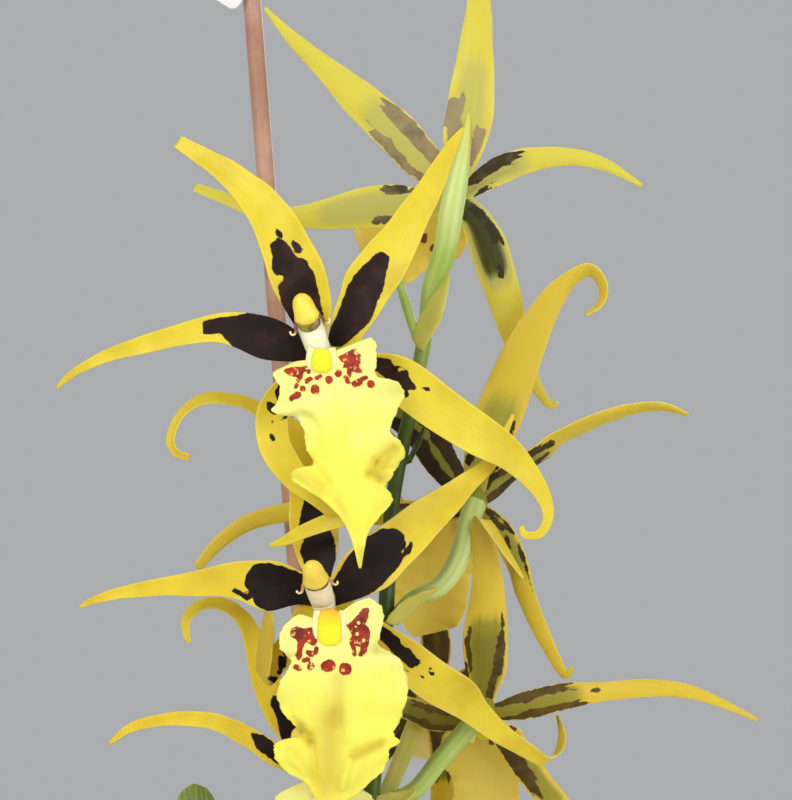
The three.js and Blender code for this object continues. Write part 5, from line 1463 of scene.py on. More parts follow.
def build_column(key, bloom):
    hub = seen(*bloom["hub"])
    up = unit(np.array(bloom["up"], dtype=float))
    forward = np.array([0.0, -bloom["front"], 0.0])
    right = np.cross(up, forward)
    lean = math.radians(bloom.get("lean", 0.0))
    cos = math.cos(lean)
    sin = math.sin(lean)

    def at(high, ahead, sideways=0.0):
        above = max(high, 0.0)
        place = hub + up * (high - above + above * cos)
        return place + forward * (ahead + above * sin) + right * sideways

    def add_column_rod(rows, spans, kind):
        table = smooth_rows(np.array(rows, dtype=float), spans)
        centres = np.array([at(high, ahead) for high, ahead, _, _ in table])
        add_rod(shape, centres, table[:, 2], table[:, 3], 32, right, values={"kind": kind})

    shape = Shape()
    add_column_rod(TRUNK_ROWS, 30, 0.0)
    add_column_rod(CAP_ROWS, 42, 1.0)
    leaning = [right, forward * cos - up * sin, up * cos + forward * sin]
    add_ball(shape, at(*CAVITY), CAVITY_SIZES, leaning, 32, 22, values={"kind": 2.0})
    for sign in (-1, 1):
        rows = smooth_rows(np.array(WING_ROWS, dtype=float), 36)
        wing = np.array([at(high, ahead, sign * out) for high, ahead, out, _ in rows])
        values = {"kind": 3.0, "share": np.linspace(0, 1, len(rows))}
        add_rod(shape, wing, rows[:, 3], WING_THICKNESS, 12, right, values=values)
    paint = COLUMN_PAINTS.get(key, WARM_COLUMN)
    shape.piece(f"bloom_{key}_column_fine", paint, "column", f"bloom_{key}_column")


def add_callus(shape, key, bloom):
    """The bright pad on the lip's upper part and the pale ridge on either side of it."""
    x, z, depth = bloom["lip"][0][:3]
    drop, wide, high = bloom.get("callus", CALLUS_USUAL)
    middle = z - drop + CALLUS_LIFT
    front = bloom["front"]
    facts = {"mark": FAR_OUTSIDE, "inside": 1.0, "callus": 1.0}
    pad = Shape()
    sizes = (wide * 1.02, PAD_DEPTH, high * PAD_HEIGHTS.get(key, 1.0))
    add_ball(pad, seen(x, middle, depth - front * PAD_AHEAD), sizes, None, 32, 24, 0.7, values=facts)
    points = np.concatenate(pad.points)
    warm = 0.0
    if key in WARM_LIPS:
        warm = np.clip((looks_at(points)[:, 1] - middle) / high, 0, 1)
    shape.add(points, pad.faces, {**facts, "warm": warm})
    t = np.linspace(0, 1, 20)
    reach = wide * (1.08 + 0.22 * t**3)
    height = middle + high * (0.95 - 2.15 * t)
    radius = 0.3 + 0.6 * np.sin(np.pi * np.clip(t * 0.8 + 0.15, 0, 1))
    facts["callus"] = 2.0 if key in RIDGED_LIPS else 0.0
    for side in (-1, 1):
        ridge = seen(x + side * reach, height, depth - front * (0.8 - 0.7 * t))
        add_rod(shape, ridge, radius * 1.3, radius, 18, values=facts)


def build_bloom(key, bloom, seed):
    front = bloom["front"]
    tepals = Shape()
    add_ball(tepals, seen(*bloom["hub"]), HUB_SIZES, across=20, high=14, values=HUB_FACTS)
    bands = BANDS.get(key, [None] * 5)
    for i, rows in enumerate(bloom["petals"]):
        rooted = [[*bloom["hub"], rows[0][3] * PETAL_ROOT], *rows]
        spans = 84 if len(rows) > 9 else 56
        marks = TEPAL_MARKS[key][i]
        add_petal(tepals, rooted, front, marks, seed + 10 * i, spans, bands=bands[i])
    tepals.piece(f"bloom_{key}_tepals_fine", TEPAL_PAINTS[key], "tepal", f"bloom_{key}_tepals")

    lip = Shape()
    strokes = [table.get(key, []) for table in (LIP_SHIFTS, LIP_CREASES, LIP_PAINTED_SHADE)]
    add_lip(lip, bloom["lip"], front, LIP_MARKS[key], strokes, seed + 60)
    add_callus(lip, key, bloom)
    paint = LIP_PAINTS.get(key, FRONT_LIP)
    lip.piece(f"bloom_{key}_lip_fine", paint, "lip", f"bloom_{key}_lip")
    build_column(key, bloom)


for order, (key, bloom) in enumerate(BLOOMS.items()):
    build_bloom(key, bloom, 100 * order)


# Flower stem. Rows are x, z, depth, radius.

RACHIS_ROWS = [
    [-12.5, 88, 2, 3.1], [-13, 130, 1, 3.1], [-12, 180, 1, 3], [-9, 235, 1.5, 2.8], [-5.5, 290, 2, 2.5],
    [-1, 340, 1, 2.3], [1.2, 357, 0.5, 2.2], [3, 382.5, 0, 2.1], [5.5, 410, 0, 2], [7.2, 440, 0, 2],
    [8.2, 455, 0, 1.9], [11, 470, 0, 1.8], [14, 484, 0, 1.8], [16.2, 496, 0.5, 1.9],
]
TIP_ROWS = [[15.5, 493, 0.5, 1.2], [13.2, 498.5, -0.5, 1.15], [11, 505.5, -1.5, 1.1], [9, 512, -2, 0.9]]
BRACT_ROWS = {
    "a": [[11.5, 464, 1.5, 4], [13.5, 468, 2.6, 4.6], [15.5, 472, 3, 3], [16.8, 476, 3, 0.8]],
    "b": [[7.5, 403, 1.8, 4], [9, 407, 2.8, 4.4], [10.2, 410.5, 3.2, 2.8], [11, 413.5, 3.2, 0.8]],
    "c": [[14, 494, -2.2, 5.2], [16.6, 499.4, -3.4, 6.6], [19.4, 505.2, -4.2, 5], [22.2, 511, -4.4, 0.8]],
    "d": [[8, 424, -1.8, 4], [11.5, 427.5, -2.8, 5.4], [15.5, 430.5, -3.4, 4], [19.5, 432.8, -3.6, 0.8]],
    "e": [[3.5, 379, -1.8, 4], [7, 379.2, -2.8, 5], [10.5, 380.6, -3.2, 3.4], [14, 382.4, -3.4, 0.8]],
    "f": [[0.5, 353, -1.6, 4], [-1.5, 357, -2.8, 4.6], [-3.2, 361, -3.4, 3], [-4.6, 364.6, -3.6, 0.8]],
}
STEM_NODES = (150.0, 205.0, 262.0, 318.0)
NODE_SWELL = 0.28
NODE_REACH = 2.2
COLLAR_SWELL = 0.55
COLLAR_TONE = 1.75

# The stem is dark up to a height and turns greener over the next stretch.
DARK_TONE = 0.05
GREEN_TONE = 0.6
GREEN_FROM = 479.0
GREEN_STRETCH = 14.0
BRACT_ROOT_WIDTH = 3
BRACT_TONES = {"a": 0.2}
PAPERY_TONE = 2.0

# A flower stalk's usual course: shares of its length and how far it hangs there
PEDICEL_BOWS = ((0.25, 1), (0.5, 1.2), (0.75, 0.8))
PEDICEL_ROOT_RADIUS = 1.5
PEDICEL_RADIUS = 1.8
PEDICEL_SWELL = 0.8
PEDICEL_END = 2.4
PEDICEL_FOOT_TONES = {"a": 0.05, "b": 0.05, "c": 0.55, "d": 0.7, "e": 0.6, "f": 0.3, "g": 2.0}
PEDICEL_TONES = {"a": 0.8, "b": 1.0, "c": 1.25, "d": 1.24, "e": 1.1, "f": 0.8, "g": 2.0}
PEDICEL_GROWTH = {"d": 0.25}
PEDICEL_ENDS = {
    "c": [
        [24.1, 533.5, -0.3, 2.8], [25.1, 538.5, 0.9, 2.3], [26, 543, 2.1, 1.7], [26.7, 547.5, 3, 1.1],
        [27.2, 551.5, 3.7, 0.5],
    ],
}
PEDICEL_FADES = {"c": 0.58}
PEDICEL_RIB_DEPTH = 0.07


def stem_path(rows, spans):
    stations = smooth_rows(np.array(rows, dtype=float), spans)
    return seen(stations[:, 0], stations[:, 1], stations[:, 2]), stations[:, 3]


def build_stem():
    shape = Shape()
    rachis, rachis_radii = stem_path(RACHIS_ROWS, 150)
    heights = rachis[:, 2]
    swell = sum(NODE_SWELL * np.exp(-((heights - node) / NODE_REACH) ** 2) for node in STEM_NODES)
    green = np.clip((heights - GREEN_FROM) / GREEN_STRETCH, 0, 1)
    tone = DARK_TONE + (GREEN_TONE - DARK_TONE) * green
    add_rod(shape, rachis, rachis_radii + swell, None, 24, values={"tone": tone})
    centres, radii = stem_path(TIP_ROWS, 20)
    add_rod(shape, centres, radii, None, 16, values={"tone": np.linspace(1.0, 0.5, 21)})
    for key, bloom in BLOOMS.items():
        x, z, depth = bloom["node"]
        hub_x, hub_z, hub_depth = bloom["hub"]
        back = hub_depth + bloom["front"] * PEDICEL_END
        middle = bloom.get("pedicel") or [
            [
                x + (hub_x - x) * t, z + (hub_z - z) * t - bow,
                depth + (back - depth) * t, PEDICEL_RADIUS + PEDICEL_SWELL * t,
            ]
            for t, bow in PEDICEL_BOWS
        ]
        end = PEDICEL_ENDS.get(key, [[hub_x, hub_z, back, middle[-1][3]]])
        centres, radii = stem_path([[x, z, depth, PEDICEL_ROOT_RADIUS], *middle, *end], 56)
        t = np.linspace(0, 1, len(centres))
        foot_tone = PEDICEL_FOOT_TONES[key]
        values = {"tone": foot_tone + (PEDICEL_TONES[key] - foot_tone) * np.clip(t * 3, 0, 1)}
        start = PEDICEL_FADES.get(key, 1.0)
        values["fade"] = np.clip((t - start) / max(1 - start, 0.01), 0, 1)
        wide = radii + PEDICEL_GROWTH.get(key, 0.0) * t
        add_rod(shape, centres, wide, None, 36, None, 6, PEDICEL_RIB_DEPTH, values)
    for key, rows in BRACT_ROWS.items():
        bract = Shape()
        rooted = [[*BLOOMS[key]["node"], BRACT_ROOT_WIDTH], *rows]
        add_petal(bract, rooted, 1, [], seed=7, spans=24, columns=11)
        bract.values["tone"] = [np.full(bract.count, BRACT_TONES.get(key, PAPERY_TONE))]
        values = {name: np.concatenate(numbers) for name, numbers in bract.values.items()}
        shape.add(np.concatenate(bract.points), bract.faces, values)
    share = np.linspace(0, 1, 9)
    bulge = COLLAR_SWELL * np.sin(np.pi * np.clip(share * 1.1 + 0.12, 0, 1)) + 0.05
    for node in STEM_NODES:
        at = int(np.argmin(np.abs(heights - node)))
        span = rachis[at:at + 6]
        collar = np.stack([np.interp(share * 5, np.arange(6), span[:, i]) for i in range(3)], axis=1)
        add_rod(shape, collar, rachis_radii[at] + bulge, None, 24, values={"tone": COLLAR_TONE})
    shape.piece("flower_stem_fine", stem_paint(), "stem", "flower_stem")


build_stem()


# Stake, tie and tag

SEAT_GAP = 0.4
STAKE_RADIUS = 2.35
STAKE_FOOT = np.array([16.6, -0.2, 25.0])
STAKE_HEAD = np.array([-30.0, 18.7, 606.0])
STAKE_RINGS = (0.13, 0.31, 0.5, 0.68, 0.86)
STAKE_RING_HALF = 0.0016
TIE_SEAT = (-5.5, 290.0, 2.0)
TIE_REACH = 3.85
CORD_RADIUS = 0.75
CORD_TURNS = 4
CORD_RISE = 5.4
CORD_TAILS = ((-1, 4.5), (1, 3.6))
TAIL_REACH = 2.6
TAG_SIZE = (15.0, 0.8, 42.0)
TAG_TILT = math.radians(32)
TAG_CORNER = 2.2
TAG_SHIFT = 2.3
TAG_DROP = 2.5
TAG_SEAT = (0.0, 600.0, 18.0)
TAG_BAND = 6.0
BAND_WALL = 1.1


def stake_at(height):
    share = (height - STAKE_FOOT[2]) / (STAKE_HEAD[2] - STAKE_FOOT[2])
    return STAKE_FOOT + (STAKE_HEAD - STAKE_FOOT) * share


def build_stake():
    shape = Shape()
    t = np.linspace(0, 1, 240)
    centres = STAKE_FOOT + (STAKE_HEAD - STAKE_FOOT) * t[:, None]
    ring = sum(np.exp(-((t - place) / STAKE_RING_HALF) ** 2) for place in STAKE_RINGS)
    radius = STAKE_RADIUS * (0.985 + 0.035 * ring) * np.where(t > 0.9985, 0.86, 1.0)
    add_rod(shape, centres, radius, None, 28, values={"ring": ring})
    shape.values["turn"] = [np.arctan2(*np.concatenate(shape.points)[:, :2].T)]
    shape.piece("stake_fine", cane_paint(), "cane", "stake")


def beside(centre, reach, angle):
    return centre[0] + reach * math.cos(angle), centre[1] + reach * math.sin(angle)


def loop_round(first, second, reach, turns, rise, steps):
    """A cord wound round two upright rods."""
    heading = math.atan2(second[1] - first[1], second[0] - first[0])
    left = heading + math.pi / 2
    right = heading - math.pi / 2
    gap = math.dist(first[:2], second[:2])
    half = math.pi * reach
    whole = 2 * (half + gap)
    places = []
    for k in range(steps + 1):
        part = k / steps * turns * whole % whole
        if part < half:
            x, y = beside(second, reach, right + part / reach)
        elif part < half + gap:
            share = (part - half) / gap
            x, y = beside(second + (first - second) * share, reach, left)
        elif part < 2 * half + gap:
            x, y = beside(first, reach, left + (part - half - gap) / reach)
        else:
            share = (part - 2 * half - gap) / gap
            x, y = beside(first + (second - first) * share, reach, right)
        places.append([x, y, first[2] + (k / steps - 0.5) * rise])
    return np.array(places)


def build_tie():
    stem = seen(*TIE_SEAT)
    stake = stake_at(stem[2])
    shape = Shape()
    path = loop_round(stem, stake, TIE_REACH, CORD_TURNS, CORD_RISE, 320)
    add_rod(shape, path, CORD_RADIUS, None, 10)
    knot = stem + np.array([0.0, -TIE_REACH - 0.3, 0.0])
    add_ball(shape, knot, (1.6, 0.9, 1.3), lumps=0.1, seed=3)
    t = np.linspace(0, 1, 14)
    for side, drop in CORD_TAILS:
        tail = knot + np.stack([side * TAIL_REACH * t, -0.25 * t, -drop * t * t], axis=1)
        add_rod(shape, tail, CORD_RADIUS * 0.85, None, 10)
    shape.piece("stem_tie_fine", tie_paint(), "tie", "stem_tie")


def add_tube(shape, grid, thickness, angle):
    """A closed thin tube with open ends, from rings of places."""
    rows, around = grid.shape[:2]
    middle = grid.mean(axis=1, keepdims=True)
    away = grid - middle
    away[..., 2] = 0.0
    inner = grid - unit(away) * thickness
    points = np.concatenate([grid.reshape(-1, 3), inner.reshape(-1, 3)])
    back = rows * around
    faces = []
    for i in range(rows - 1):
        for k in range(around):
            a, b = i * around + k, i * around + (k + 1) % around
            c, d = b + around, a + around
            faces.append((a, b, c, d))
            faces.append((a + back, d + back, c + back, b + back))
    top = (rows - 1) * around
    for k in range(around):
        after = (k + 1) % around
        faces.append((k, k + back, after + back, after))
        faces.append((top + k, top + after, top + after + back, top + k + back))
    values = {"turn": np.tile(angle, 2 * rows), "along": points[:, 2]}
    shape.add(points, faces, values)


def turn_matrix(x, y, z):
    """A turn about X, then Y, then Z."""
    about_x = [[1, 0, 0], [0, math.cos(x), -math.sin(x)], [0, math.sin(x), math.cos(x)]]
    about_y = [[math.cos(y), 0, math.sin(y)], [0, 1, 0], [-math.sin(y), 0, math.cos(y)]]
    about_z = [[math.cos(z), -math.sin(z), 0], [math.sin(z), math.cos(z), 0], [0, 0, 1]]
    return np.array(about_z) @ np.array(about_y) @ np.array(about_x)


def add_plate(shape, size, corner, turn, centre):
    """A thin plate with round corners and softened faces."""
    wide, thick, tall = size
    outline = []
    for quarter, (sx, sz) in enumerate(((1, 1), (-1, 1), (-1, -1), (1, -1))):
        for angle in np.linspace(0, np.pi / 2, 9) + quarter * np.pi / 2:
            x = sx * (wide / 2 - corner) + corner * math.cos(angle)
            z = sz * (tall / 2 - corner) + corner * math.sin(angle)
            outline.append((x, z))
    outline = np.array(outline)
    edge = unit(outline) * 0.2
    layers = []
    for lift, inward in ((-0.5, 1), (-0.3, 0), (0.3, 0), (0.5, 1)):
        flat = outline - edge * inward
        layers.append(np.stack([flat[:, 0], np.full(len(flat), lift * thick), flat[:, 1]], axis=1))
    points = np.concatenate(layers) @ turn.T + centre
    count = len(outline)
    faces = [list(range(count)), list(range(3 * count, 4 * count))[::-1]]
    for low in range(0, 3 * count, count):
        for k in range(count):
            after = (k + 1) % count
            faces.append((low + after, low + k, low + count + k, low + count + after))
    shape.add(points, faces, {})


def build_tag():
    middle = stake_at(seen(*TAG_SEAT)[2])
    inner = STAKE_RADIUS + 2 * SEAT_GAP
    shape = Shape()
    angle = np.linspace(0, 2 * np.pi, 72, endpoint=False)
    rings = []
    for height, inset in ((-0.5, 0.2), (-0.46, 0.0), (0.46, 0.0), (0.5, 0.2)):
        radius = inner + BAND_WALL - inset
        x = middle[0] + radius * np.cos(angle)
        y = middle[1] + radius * np.sin(angle)
        z = np.full(len(angle), middle[2] + height * TAG_BAND)
        rings.append(np.stack([x, y, z], axis=1))
    add_tube(shape, np.array(rings), BAND_WALL, angle)
    centre = middle + np.array([TAG_SHIFT, -inner - BAND_WALL / 2, -TAG_DROP])
    add_plate(shape, TAG_SIZE, TAG_CORNER, turn_matrix(0.0, TAG_TILT, 0.0), centre)
    shape.piece("tag_fine", tag_paint(), "tag", "tag")


build_stake()
build_tie()
build_tag()


# Pseudobulbs with their dry sheaths

BULB_ROWS = [
    [0, 0.5, 0.6], [0.1, 0.78, 0.85], [0.28, 1, 1], [0.52, 0.93, 0.95], [0.74, 0.66, 0.76],
    [0.92, 0.36, 0.5], [1, 0.26, 0.4],
]
BULB_FOOT = 99.0
BULB_RIBS = 12
BULB_RIB_DEPTH = 0.07

# Each bulb has an inner and an outer sheath: the share of the bulb it covers and how far its top
# edge stands out.
SHEATHS = ((0.5, 0.9), (0.34, 1.5))
SHEATH_FOOT = 0.06
SHEATH_WALL = 0.35
SHEATH_TEAR = 0.05
BULBS = [
    {"x": 6, "y": 18, "turn": 8, "high": 80, "wide": 17.5, "deep": 9.5},
    {"x": -32, "y": 12, "turn": -14, "high": 72, "wide": 17, "deep": 9},
    {"x": 33, "y": -4, "turn": 35, "high": 66, "wide": 16, "deep": 9},
    {"x": -5, "y": -27, "turn": 12, "high": 56, "wide": 15, "deep": 8.5},
]


def bulb_path(bulb, low, high, spans, grow):
    rows = smooth_rows(np.array(BULB_ROWS, dtype=float), 60)
    share = np.linspace(low, high, spans + 1)
    wide = bulb["wide"] * np.interp(share, rows[:, 0], rows[:, 1]) + grow
    deep = bulb["deep"] * np.interp(share, rows[:, 0], rows[:, 2]) + grow
    centres = np.stack([
        np.full(spans + 1, bulb["x"]), np.full(spans + 1, bulb["y"]), BULB_FOOT + share * bulb["high"],
    ], axis=1)
    return centres, wide, deep, share


def sheath_grid(bulb, side, layer, seed, angle):
    """Rings of places up a sheath, with a torn and flared upper edge."""
    top, flare = SHEATHS[layer]
    centres, wide, deep, share = bulb_path(bulb, SHEATH_FOOT, top, 26, 0.5 + 0.5 * layer)
    open_out = flare * np.clip((share - top + 0.12) / 0.12, 0, 1) ** 2
    tear = SHEATH_TEAR * ripple(angle / (2 * np.pi), seed, (2, 5, 9))
    back = np.cross([0, 0, 1.0], side)
    x = (wide + open_out)[:, None] * np.cos(angle)
    y = (deep + open_out)[:, None] * np.sin(angle)
    grid = centres[:, None, :] + x[..., None] * side + y[..., None] * back
    grid[..., 2] += ((share - SHEATH_FOOT) / (top - SHEATH_FOOT))[:, None] * tear * bulb["high"]
    return grid


def build_bulbs():
    green = bulb_paint()
    dry = sheath_paint()
    angle = np.linspace(0, 2 * np.pi, 72, endpoint=False)
    for i, bulb in enumerate(BULBS):
        heading = math.radians(bulb["turn"])
        side = np.array([math.cos(heading), math.sin(heading), 0.0])
        shape = Shape()
        centres, wide, deep, share = bulb_path(bulb, 0.0, 1.0, 60, 0.0)
        wrinkles = 1 + 0.008 * np.sin(share * 60 + i)
        sizes = (wide * wrinkles, deep * wrinkles)
        add_rod(shape, centres, *sizes, 96, side, BULB_RIBS, BULB_RIB_DEPTH, {"share": share})
        shape.piece(f"pseudobulb_{i + 1}_fine", green, "bulb", f"pseudobulb_{i + 1}")
        for layer in range(len(SHEATHS)):
            sheath = Shape()
            grid = sheath_grid(bulb, side, layer, 7 * i + layer, angle)
            add_tube(sheath, grid, SHEATH_WALL, angle)
            sheath.piece(f"dry_sheath_{i + 1}_{layer + 1}", dry, "bulb")


build_bulbs()


# Leaves: folded straps that arch from a bulb's top, or from the bark beside a bulb.

LEAF_FOOT = 102.0
LEAF_SEAT = 0.8
LEAF_SPANS = 12
LEAF_FINE = 8
LEAF_COLUMNS = 23
LEAF_THICKNESS = 1.0
LEAF_FOOT_WIDTH = 0.34
LEAF_WIDEST_AT = 0.4
LEAF_TIP_WIDTH = 1.2
LEAF_RIB = 0.5
LEAF_RIB_HALF = 0.09


def top_of(bulb):
    return [bulb["x"], bulb["y"], BULB_FOOT + bulb["high"] + LEAF_SEAT]


# Foot, heading, length, slope at the foot and at the tip, width
LEAVES = [
    [top_of(BULBS[0]), 62, 212, 84, 18, 30],
    [top_of(BULBS[1]), 118, 208, 86, 76, 27],
    [top_of(BULBS[2]), -18, 235, 82, -12, 29],
    [top_of(BULBS[3]), -105, 170, 78, -8, 25],
    [[-50, 18, LEAF_FOOT], 172, 245, 80, 2, 27],
    [[47, 8, LEAF_FOOT], 22, 265, 80, -16, 28],
    [[26, 25, LEAF_FOOT], 84, 255, 86, 20, 28],
    [[-23, -32, LEAF_FOOT], -150, 215, 80, -14, 25],
    [[-16, 33, LEAF_FOOT], 128, 235, 84, 8, 27],
]


def build_leaf(number, leaf, paint):
    foot, heading, length, rise, fall, width = leaf
    heading = math.radians(heading)
    away = np.array([math.cos(heading), math.sin(heading), 0.0])
    side = np.array([math.sin(heading), -math.cos(heading), 0.0])
    coarse = [np.array(foot, dtype=float)]
    for i in range(LEAF_SPANS):
        slope = math.radians(rise + (fall - rise) * (i / LEAF_SPANS) ** 1.6)
        step = away * math.cos(slope) + np.array([0, 0, math.sin(slope)])
        coarse.append(coarse[-1] + step * length / LEAF_SPANS)
    centres = smooth_rows(np.array(coarse), LEAF_SPANS * LEAF_FINE)
    tangents, sides, ups = path_frames(centres, side)
    t = np.linspace(0, 1, len(centres))[:, None]
    widening = np.sin(np.pi / 2 * np.minimum(1, t / LEAF_WIDEST_AT))
    spread = LEAF_FOOT_WIDTH + (1 - LEAF_FOOT_WIDTH) * widening
    half = np.maximum(width * spread * np.minimum(1, np.sqrt((1 - t) * 6)), LEAF_TIP_WIDTH) / 2
    s = np.linspace(-1, 1, LEAF_COLUMNS)[None, :]
    fold = np.abs(s) ** 1.3 * (0.55 - 0.4 * np.minimum(1, t * 2))
    wave = np.where(s < 0, ripple(t, number, (2, 5, 8)), ripple(t, number + 40, (3, 4, 9)))
    rise_here = half * (fold + 0.05 * wave * np.abs(s) ** 3)
    middle = centres[:, None, :] + sides[:, None, :] * (half * s)[..., None]
    middle = middle + ups[:, None, :] * rise_here[..., None]
    rib = LEAF_RIB * np.exp(-((s / LEAF_RIB_HALF) ** 2)) * (1 - t)
    thickness = LEAF_THICKNESS * (0.55 + 0.45 * (1 - s**2)) + rib
    values = {"along": lengths(centres)[:, None], "share": t, "across": half * s, "edge": np.abs(s)}
    shape = Shape()
    add_sheet(shape, middle, ups[:, None, :], thickness, values, 1)
    shape.piece(f"leaf_{number}_fine", paint, "leaf", f"leaf_{number}")


LEAF_GREEN = leaf_paint()
for number, leaf in enumerate(LEAVES, 1):
    build_leaf(number, leaf, LEAF_GREEN)


# Pot and bark mix

POT_HEIGHT = 124.0
POT_BASE_RADIUS = 47.0
POT_NECK_RADIUS = 65.5
POT_RIM_RADIUS = 70.0
POT_RIM_HEIGHT = 18.0
POT_WALL = 5.0
POT_FLOOR = 6.0
POT_SIDES = 144
POT_ROUNDING = 1.6
POT_INNER_POINTS = 9
DRAINS = 4
DRAIN_RADIUS = 5.0
DRAIN_CIRCLE = 28.0
BARK_TOP = 109.0
BARK_CROWN = 4.0
BARK_CHIPS = 26
CHIP_SIZES = ((13, 7), (9, 4), (5, 2))
CHIP_INSET = 11.5
CHIP_LEAN = 0.7
GOLDEN_TURN = 2.39996
SMALL_CHIPS = 230
SMALL_LEAST = (3, 2, 1.2)
SMALL_MOST = (6.5, 4, 2.4)
SMALL_INSET = 5.0
RIM_BOTTOM = POT_HEIGHT - POT_RIM_HEIGHT


def outer_radius(z):
    return POT_BASE_RADIUS + (POT_NECK_RADIUS - POT_BASE_RADIUS) / RIM_BOTTOM * z


def inner_radius(z):
    return outer_radius(z) - POT_WALL


def lathe(shape, profile, sides, values):
    """A turned body from a profile that starts and ends on the axis."""
    profile = np.array(profile, dtype=float)
    angle = np.linspace(0, 2 * np.pi, sides, endpoint=False)
    body = profile[1:-1]
    rings = np.stack([
        body[:, :1] * np.cos(angle), body[:, :1] * np.sin(angle), body[:, 1:2] + 0 * angle,
    ], axis=-1)
    points = np.concatenate([rings.reshape(-1, 3), [[0, 0, profile[0, 1]]], [[0, 0, profile[-1, 1]]]])
    count = len(body)
    first, last = count * sides, count * sides + 1
    faces = []
    for k in range(sides):
        after = (k + 1) % sides
        faces.append((first, after, k))
        faces.append((last, (count - 1) * sides + k, (count - 1) * sides + after))
        for i in range(count - 1):
            low = i * sides
            faces.append((low + k, low + after, low + sides + after, low + sides + k))
    found = {}
    for key, numbers in values.items():
        numbers = np.array(numbers, dtype=float)
        found[key] = np.concatenate([np.repeat(numbers[1:-1], sides), numbers[:1], numbers[-1:]])
    shape.add(points, faces, found)


def rounded(profile, reach, cuts=4):
    """A profile with its corners rounded off."""
    profile = [np.array(p, dtype=float) for p in profile]
    smooth = [profile[0]]
    for before, corner, after in zip(profile, profile[1:], profile[2:]):
        size = min(reach, np.linalg.norm(corner - before) / 2.2, np.linalg.norm(after - corner) / 2.2)
        start = corner + unit(before - corner) * size
        end = corner + unit(after - corner) * size
        for u in np.linspace(0, 1, cuts + 1):
            smooth.append((1 - u) ** 2 * start + 2 * u * (1 - u) * corner + u**2 * end)
    smooth.append(profile[-1])
    return smooth


def drilled(pot):
    """The pot's mesh with its drain holes."""
    cutters = []
    for k in range(DRAINS):
        angle = (k + 0.5) * 2 * math.pi / DRAINS
        x = DRAIN_CIRCLE * math.cos(angle)
        y = DRAIN_CIRCLE * math.sin(angle)
        cutter = Shape()
        ends = [[x, y, -POT_FLOOR], [x, y, 2 * POT_FLOOR]]
        add_rod(cutter, ends, DRAIN_RADIUS, None, 40, [1.0, 0.0, 0.0])
        cutters.append(cutter.thing(f"drain_{k}", pot.data.materials[0]))
        cut = pot.modifiers.new(f"drain_{k}", "BOOLEAN")
        cut.operation = "DIFFERENCE"
        cut.object = cutters[-1]
    bpy.context.view_layer.update()
    mesh = bpy.data.meshes.new_from_object(pot.evaluated_get(bpy.context.evaluated_depsgraph_get()))
    for cutter in cutters:
        bpy.data.objects.remove(cutter)
    return mesh


def build_pot():
    outside = [
        [0, 0], [POT_BASE_RADIUS - 1, 0], [outer_radius(1.5), 1.5], [POT_NECK_RADIUS, RIM_BOTTOM],
        [POT_RIM_RADIUS, RIM_BOTTOM], [POT_RIM_RADIUS, POT_HEIGHT],
        [inner_radius(POT_HEIGHT), POT_HEIGHT], [inner_radius(POT_FLOOR), POT_FLOOR], [0, POT_FLOOR],
    ]
    profile = rounded(outside, POT_ROUNDING)
    inner = [float(len(profile) - i <= POT_INNER_POINTS) for i in range(len(profile))]
    rise = [point[1] * MM for point in profile]
    shape = Shape()
    lathe(shape, profile, POT_SIDES, {"rise": rise, "inner": inner})
    turned_pot = shape.thing("pot_turned", clay_paint())
    pot = bpy.data.objects.new("pot_fine", drilled(turned_pot))
    bpy.data.objects.remove(turned_pot)
    bpy.context.scene.collection.objects.link(pot)
    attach(pot, "root")
    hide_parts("pot")


def seeded(seed):
    """The same run of numbers from 0 to 1 as the chips of the part's source have."""
    state = seed
    while True:
        state = state * 16807 % 2147483647
        yield state / 2147483647


def build_bark():
    wall = inner_radius(BARK_TOP) - SEAT_GAP
    floor = POT_FLOOR + SEAT_GAP
    shape = Shape()
    profile = [[0, floor], [inner_radius(floor) - SEAT_GAP, floor]]
    profile += [[inner_radius(z) - SEAT_GAP, z] for z in np.linspace(floor + 1, BARK_TOP - 1, 30)]
    profile += [[r, BARK_TOP - 1 + BARK_CROWN * (1 - r / wall)] for r in np.linspace(wall, 2, 30)]
    profile += [[0, BARK_TOP - 1 + BARK_CROWN]]
    # The filling's tone of 1 darkens it as painted shade between the chips.
    lathe(shape, profile, 96, {"tone": [1.0] * len(profile)})
    random = seeded(41)
    for i in range(BARK_CHIPS):
        reach = (wall - CHIP_INSET) * math.sqrt((i + 0.5) / BARK_CHIPS)
        angle = i * GOLDEN_TURN + next(random)
        size = np.array([least + extra * next(random) for least, extra in CHIP_SIZES]) / 2
        tilt = [(next(random) - 0.5) * CHIP_LEAN, (next(random) - 0.5) * CHIP_LEAN, next(random) * math.pi]
        height = BARK_TOP + BARK_CROWN * (1 - reach / wall) + next(random) - 0.5
        centre = [reach * math.cos(angle), reach * math.sin(angle), height]
        facts = {"tone": 0.1 + 0.3 * (i % 3)}
        add_ball(shape, centre, size * 1.02, turn_matrix(*tilt).T, 20, 12, 0.45, 0.06, i, facts)
    chance = np.random.default_rng(12)
    for i in range(SMALL_CHIPS):
        reach = (wall - SMALL_INSET) * math.sqrt(chance.uniform())
        angle = chance.uniform(0, 2 * np.pi)
        size = chance.uniform(SMALL_LEAST, SMALL_MOST)
        tilt = [chance.normal() * 0.35, chance.normal() * 0.35, chance.uniform(0, np.pi)]
        height = BARK_TOP + BARK_CROWN * (1 - reach / wall) + chance.uniform(0, 2.2)
        centre = [reach * math.cos(angle), reach * math.sin(angle), height]
        facts = {"tone": chance.uniform(0, 0.8)}
        add_ball(shape, centre, size, turn_matrix(*tilt).T, 12, 8, 0.5, 0.1, i + 50, facts)
    shape.piece("bark_mix_fine", bark_paint(), "bark", "bark_mix")


build_pot()
build_bark()


# Stage, light and camera, in metres

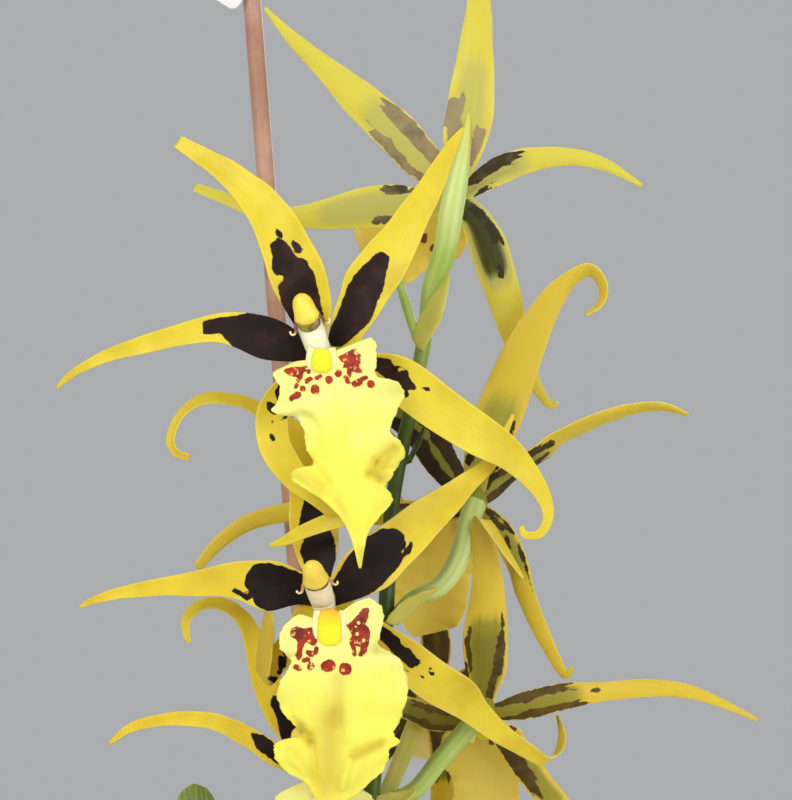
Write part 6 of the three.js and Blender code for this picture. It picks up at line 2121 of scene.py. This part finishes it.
FLOOR_HALF = 1.8
LIGHT_TARGET = (0.0, 0.0, 0.36)
BACKDROP = (0.62, 0.63, 0.64, 1.0)
BACKDROP_STRENGTH = 0.66
SENSOR_HEIGHT = 36.0

# Name, power, size, place and colour of each lamp
LAMPS = [
    ("key", 12.0, 0.8, (-0.75, -1.1, 1.2), (1.0, 0.98, 0.95)),
    ("fill", 11.5, 1.2, (1.05, -1.15, 0.65), (0.97, 0.99, 1.0)),
    ("back", 12.0, 1.0, (0.4, 1.4, 1.1), (1.0, 1.0, 1.0)),
]


def build_stage():
    paint = Paint("floor_pale", roughness=0.9)
    cloud = paint.noise(1.5, 2.0)
    material = paint.finish(paint.mix(cloud, "E3E3E2", "EAEAE8"))
    mesh = bpy.data.meshes.new("floor")
    corners = [(x * FLOOR_HALF, y * FLOOR_HALF, 0) for x, y in ((-1, -1), (1, -1), (1, 1), (-1, 1))]
    mesh.from_pydata(corners, [], [(0, 1, 2, 3)])
    mesh.materials.append(material)
    floor = bpy.data.objects.new("floor", mesh)
    bpy.context.scene.collection.objects.link(floor)


def add_light(name, energy, size, place, colour):
    lamp = bpy.data.lights.new(name, "AREA")
    lamp.energy = energy
    lamp.size = size
    lamp.color = colour
    thing = bpy.data.objects.new(name, lamp)
    bpy.context.scene.collection.objects.link(thing)
    thing.location = place
    away = np.array(place) - np.array(LIGHT_TARGET)
    thing.rotation_euler = (
        math.atan2(math.hypot(away[0], away[1]), away[2]), 0.0, math.atan2(away[0], -away[1]),
    )


def build_light():
    world = bpy.data.worlds.new("studio")
    world.use_nodes = True
    back = world.node_tree.nodes["Background"]
    back.inputs["Color"].default_value = BACKDROP
    back.inputs["Strength"].default_value = BACKDROP_STRENGTH
    bpy.context.scene.world = world
    for lamp in LAMPS:
        add_light(*lamp)


def build_camera():
    camera = bpy.data.cameras.new("camera")
    camera.sensor_fit = "VERTICAL"
    camera.sensor_height = SENSOR_HEIGHT
    camera.lens = SENSOR_HEIGHT * EYE_DISTANCE / VIEW_HEIGHT
    camera.clip_start = 0.01
    camera.clip_end = 100.0
    thing = bpy.data.objects.new("camera", camera)
    bpy.context.scene.collection.objects.link(thing)
    thing.location = (EYE_X * MM, -EYE_DISTANCE * MM, EYE_Z * MM)
    thing.rotation_euler = (math.pi / 2, 0.0, 0.0)
    bpy.context.scene.camera = thing


build_stage()
build_light()
build_camera()
bpy.context.scene.view_settings.view_transform = "Standard"
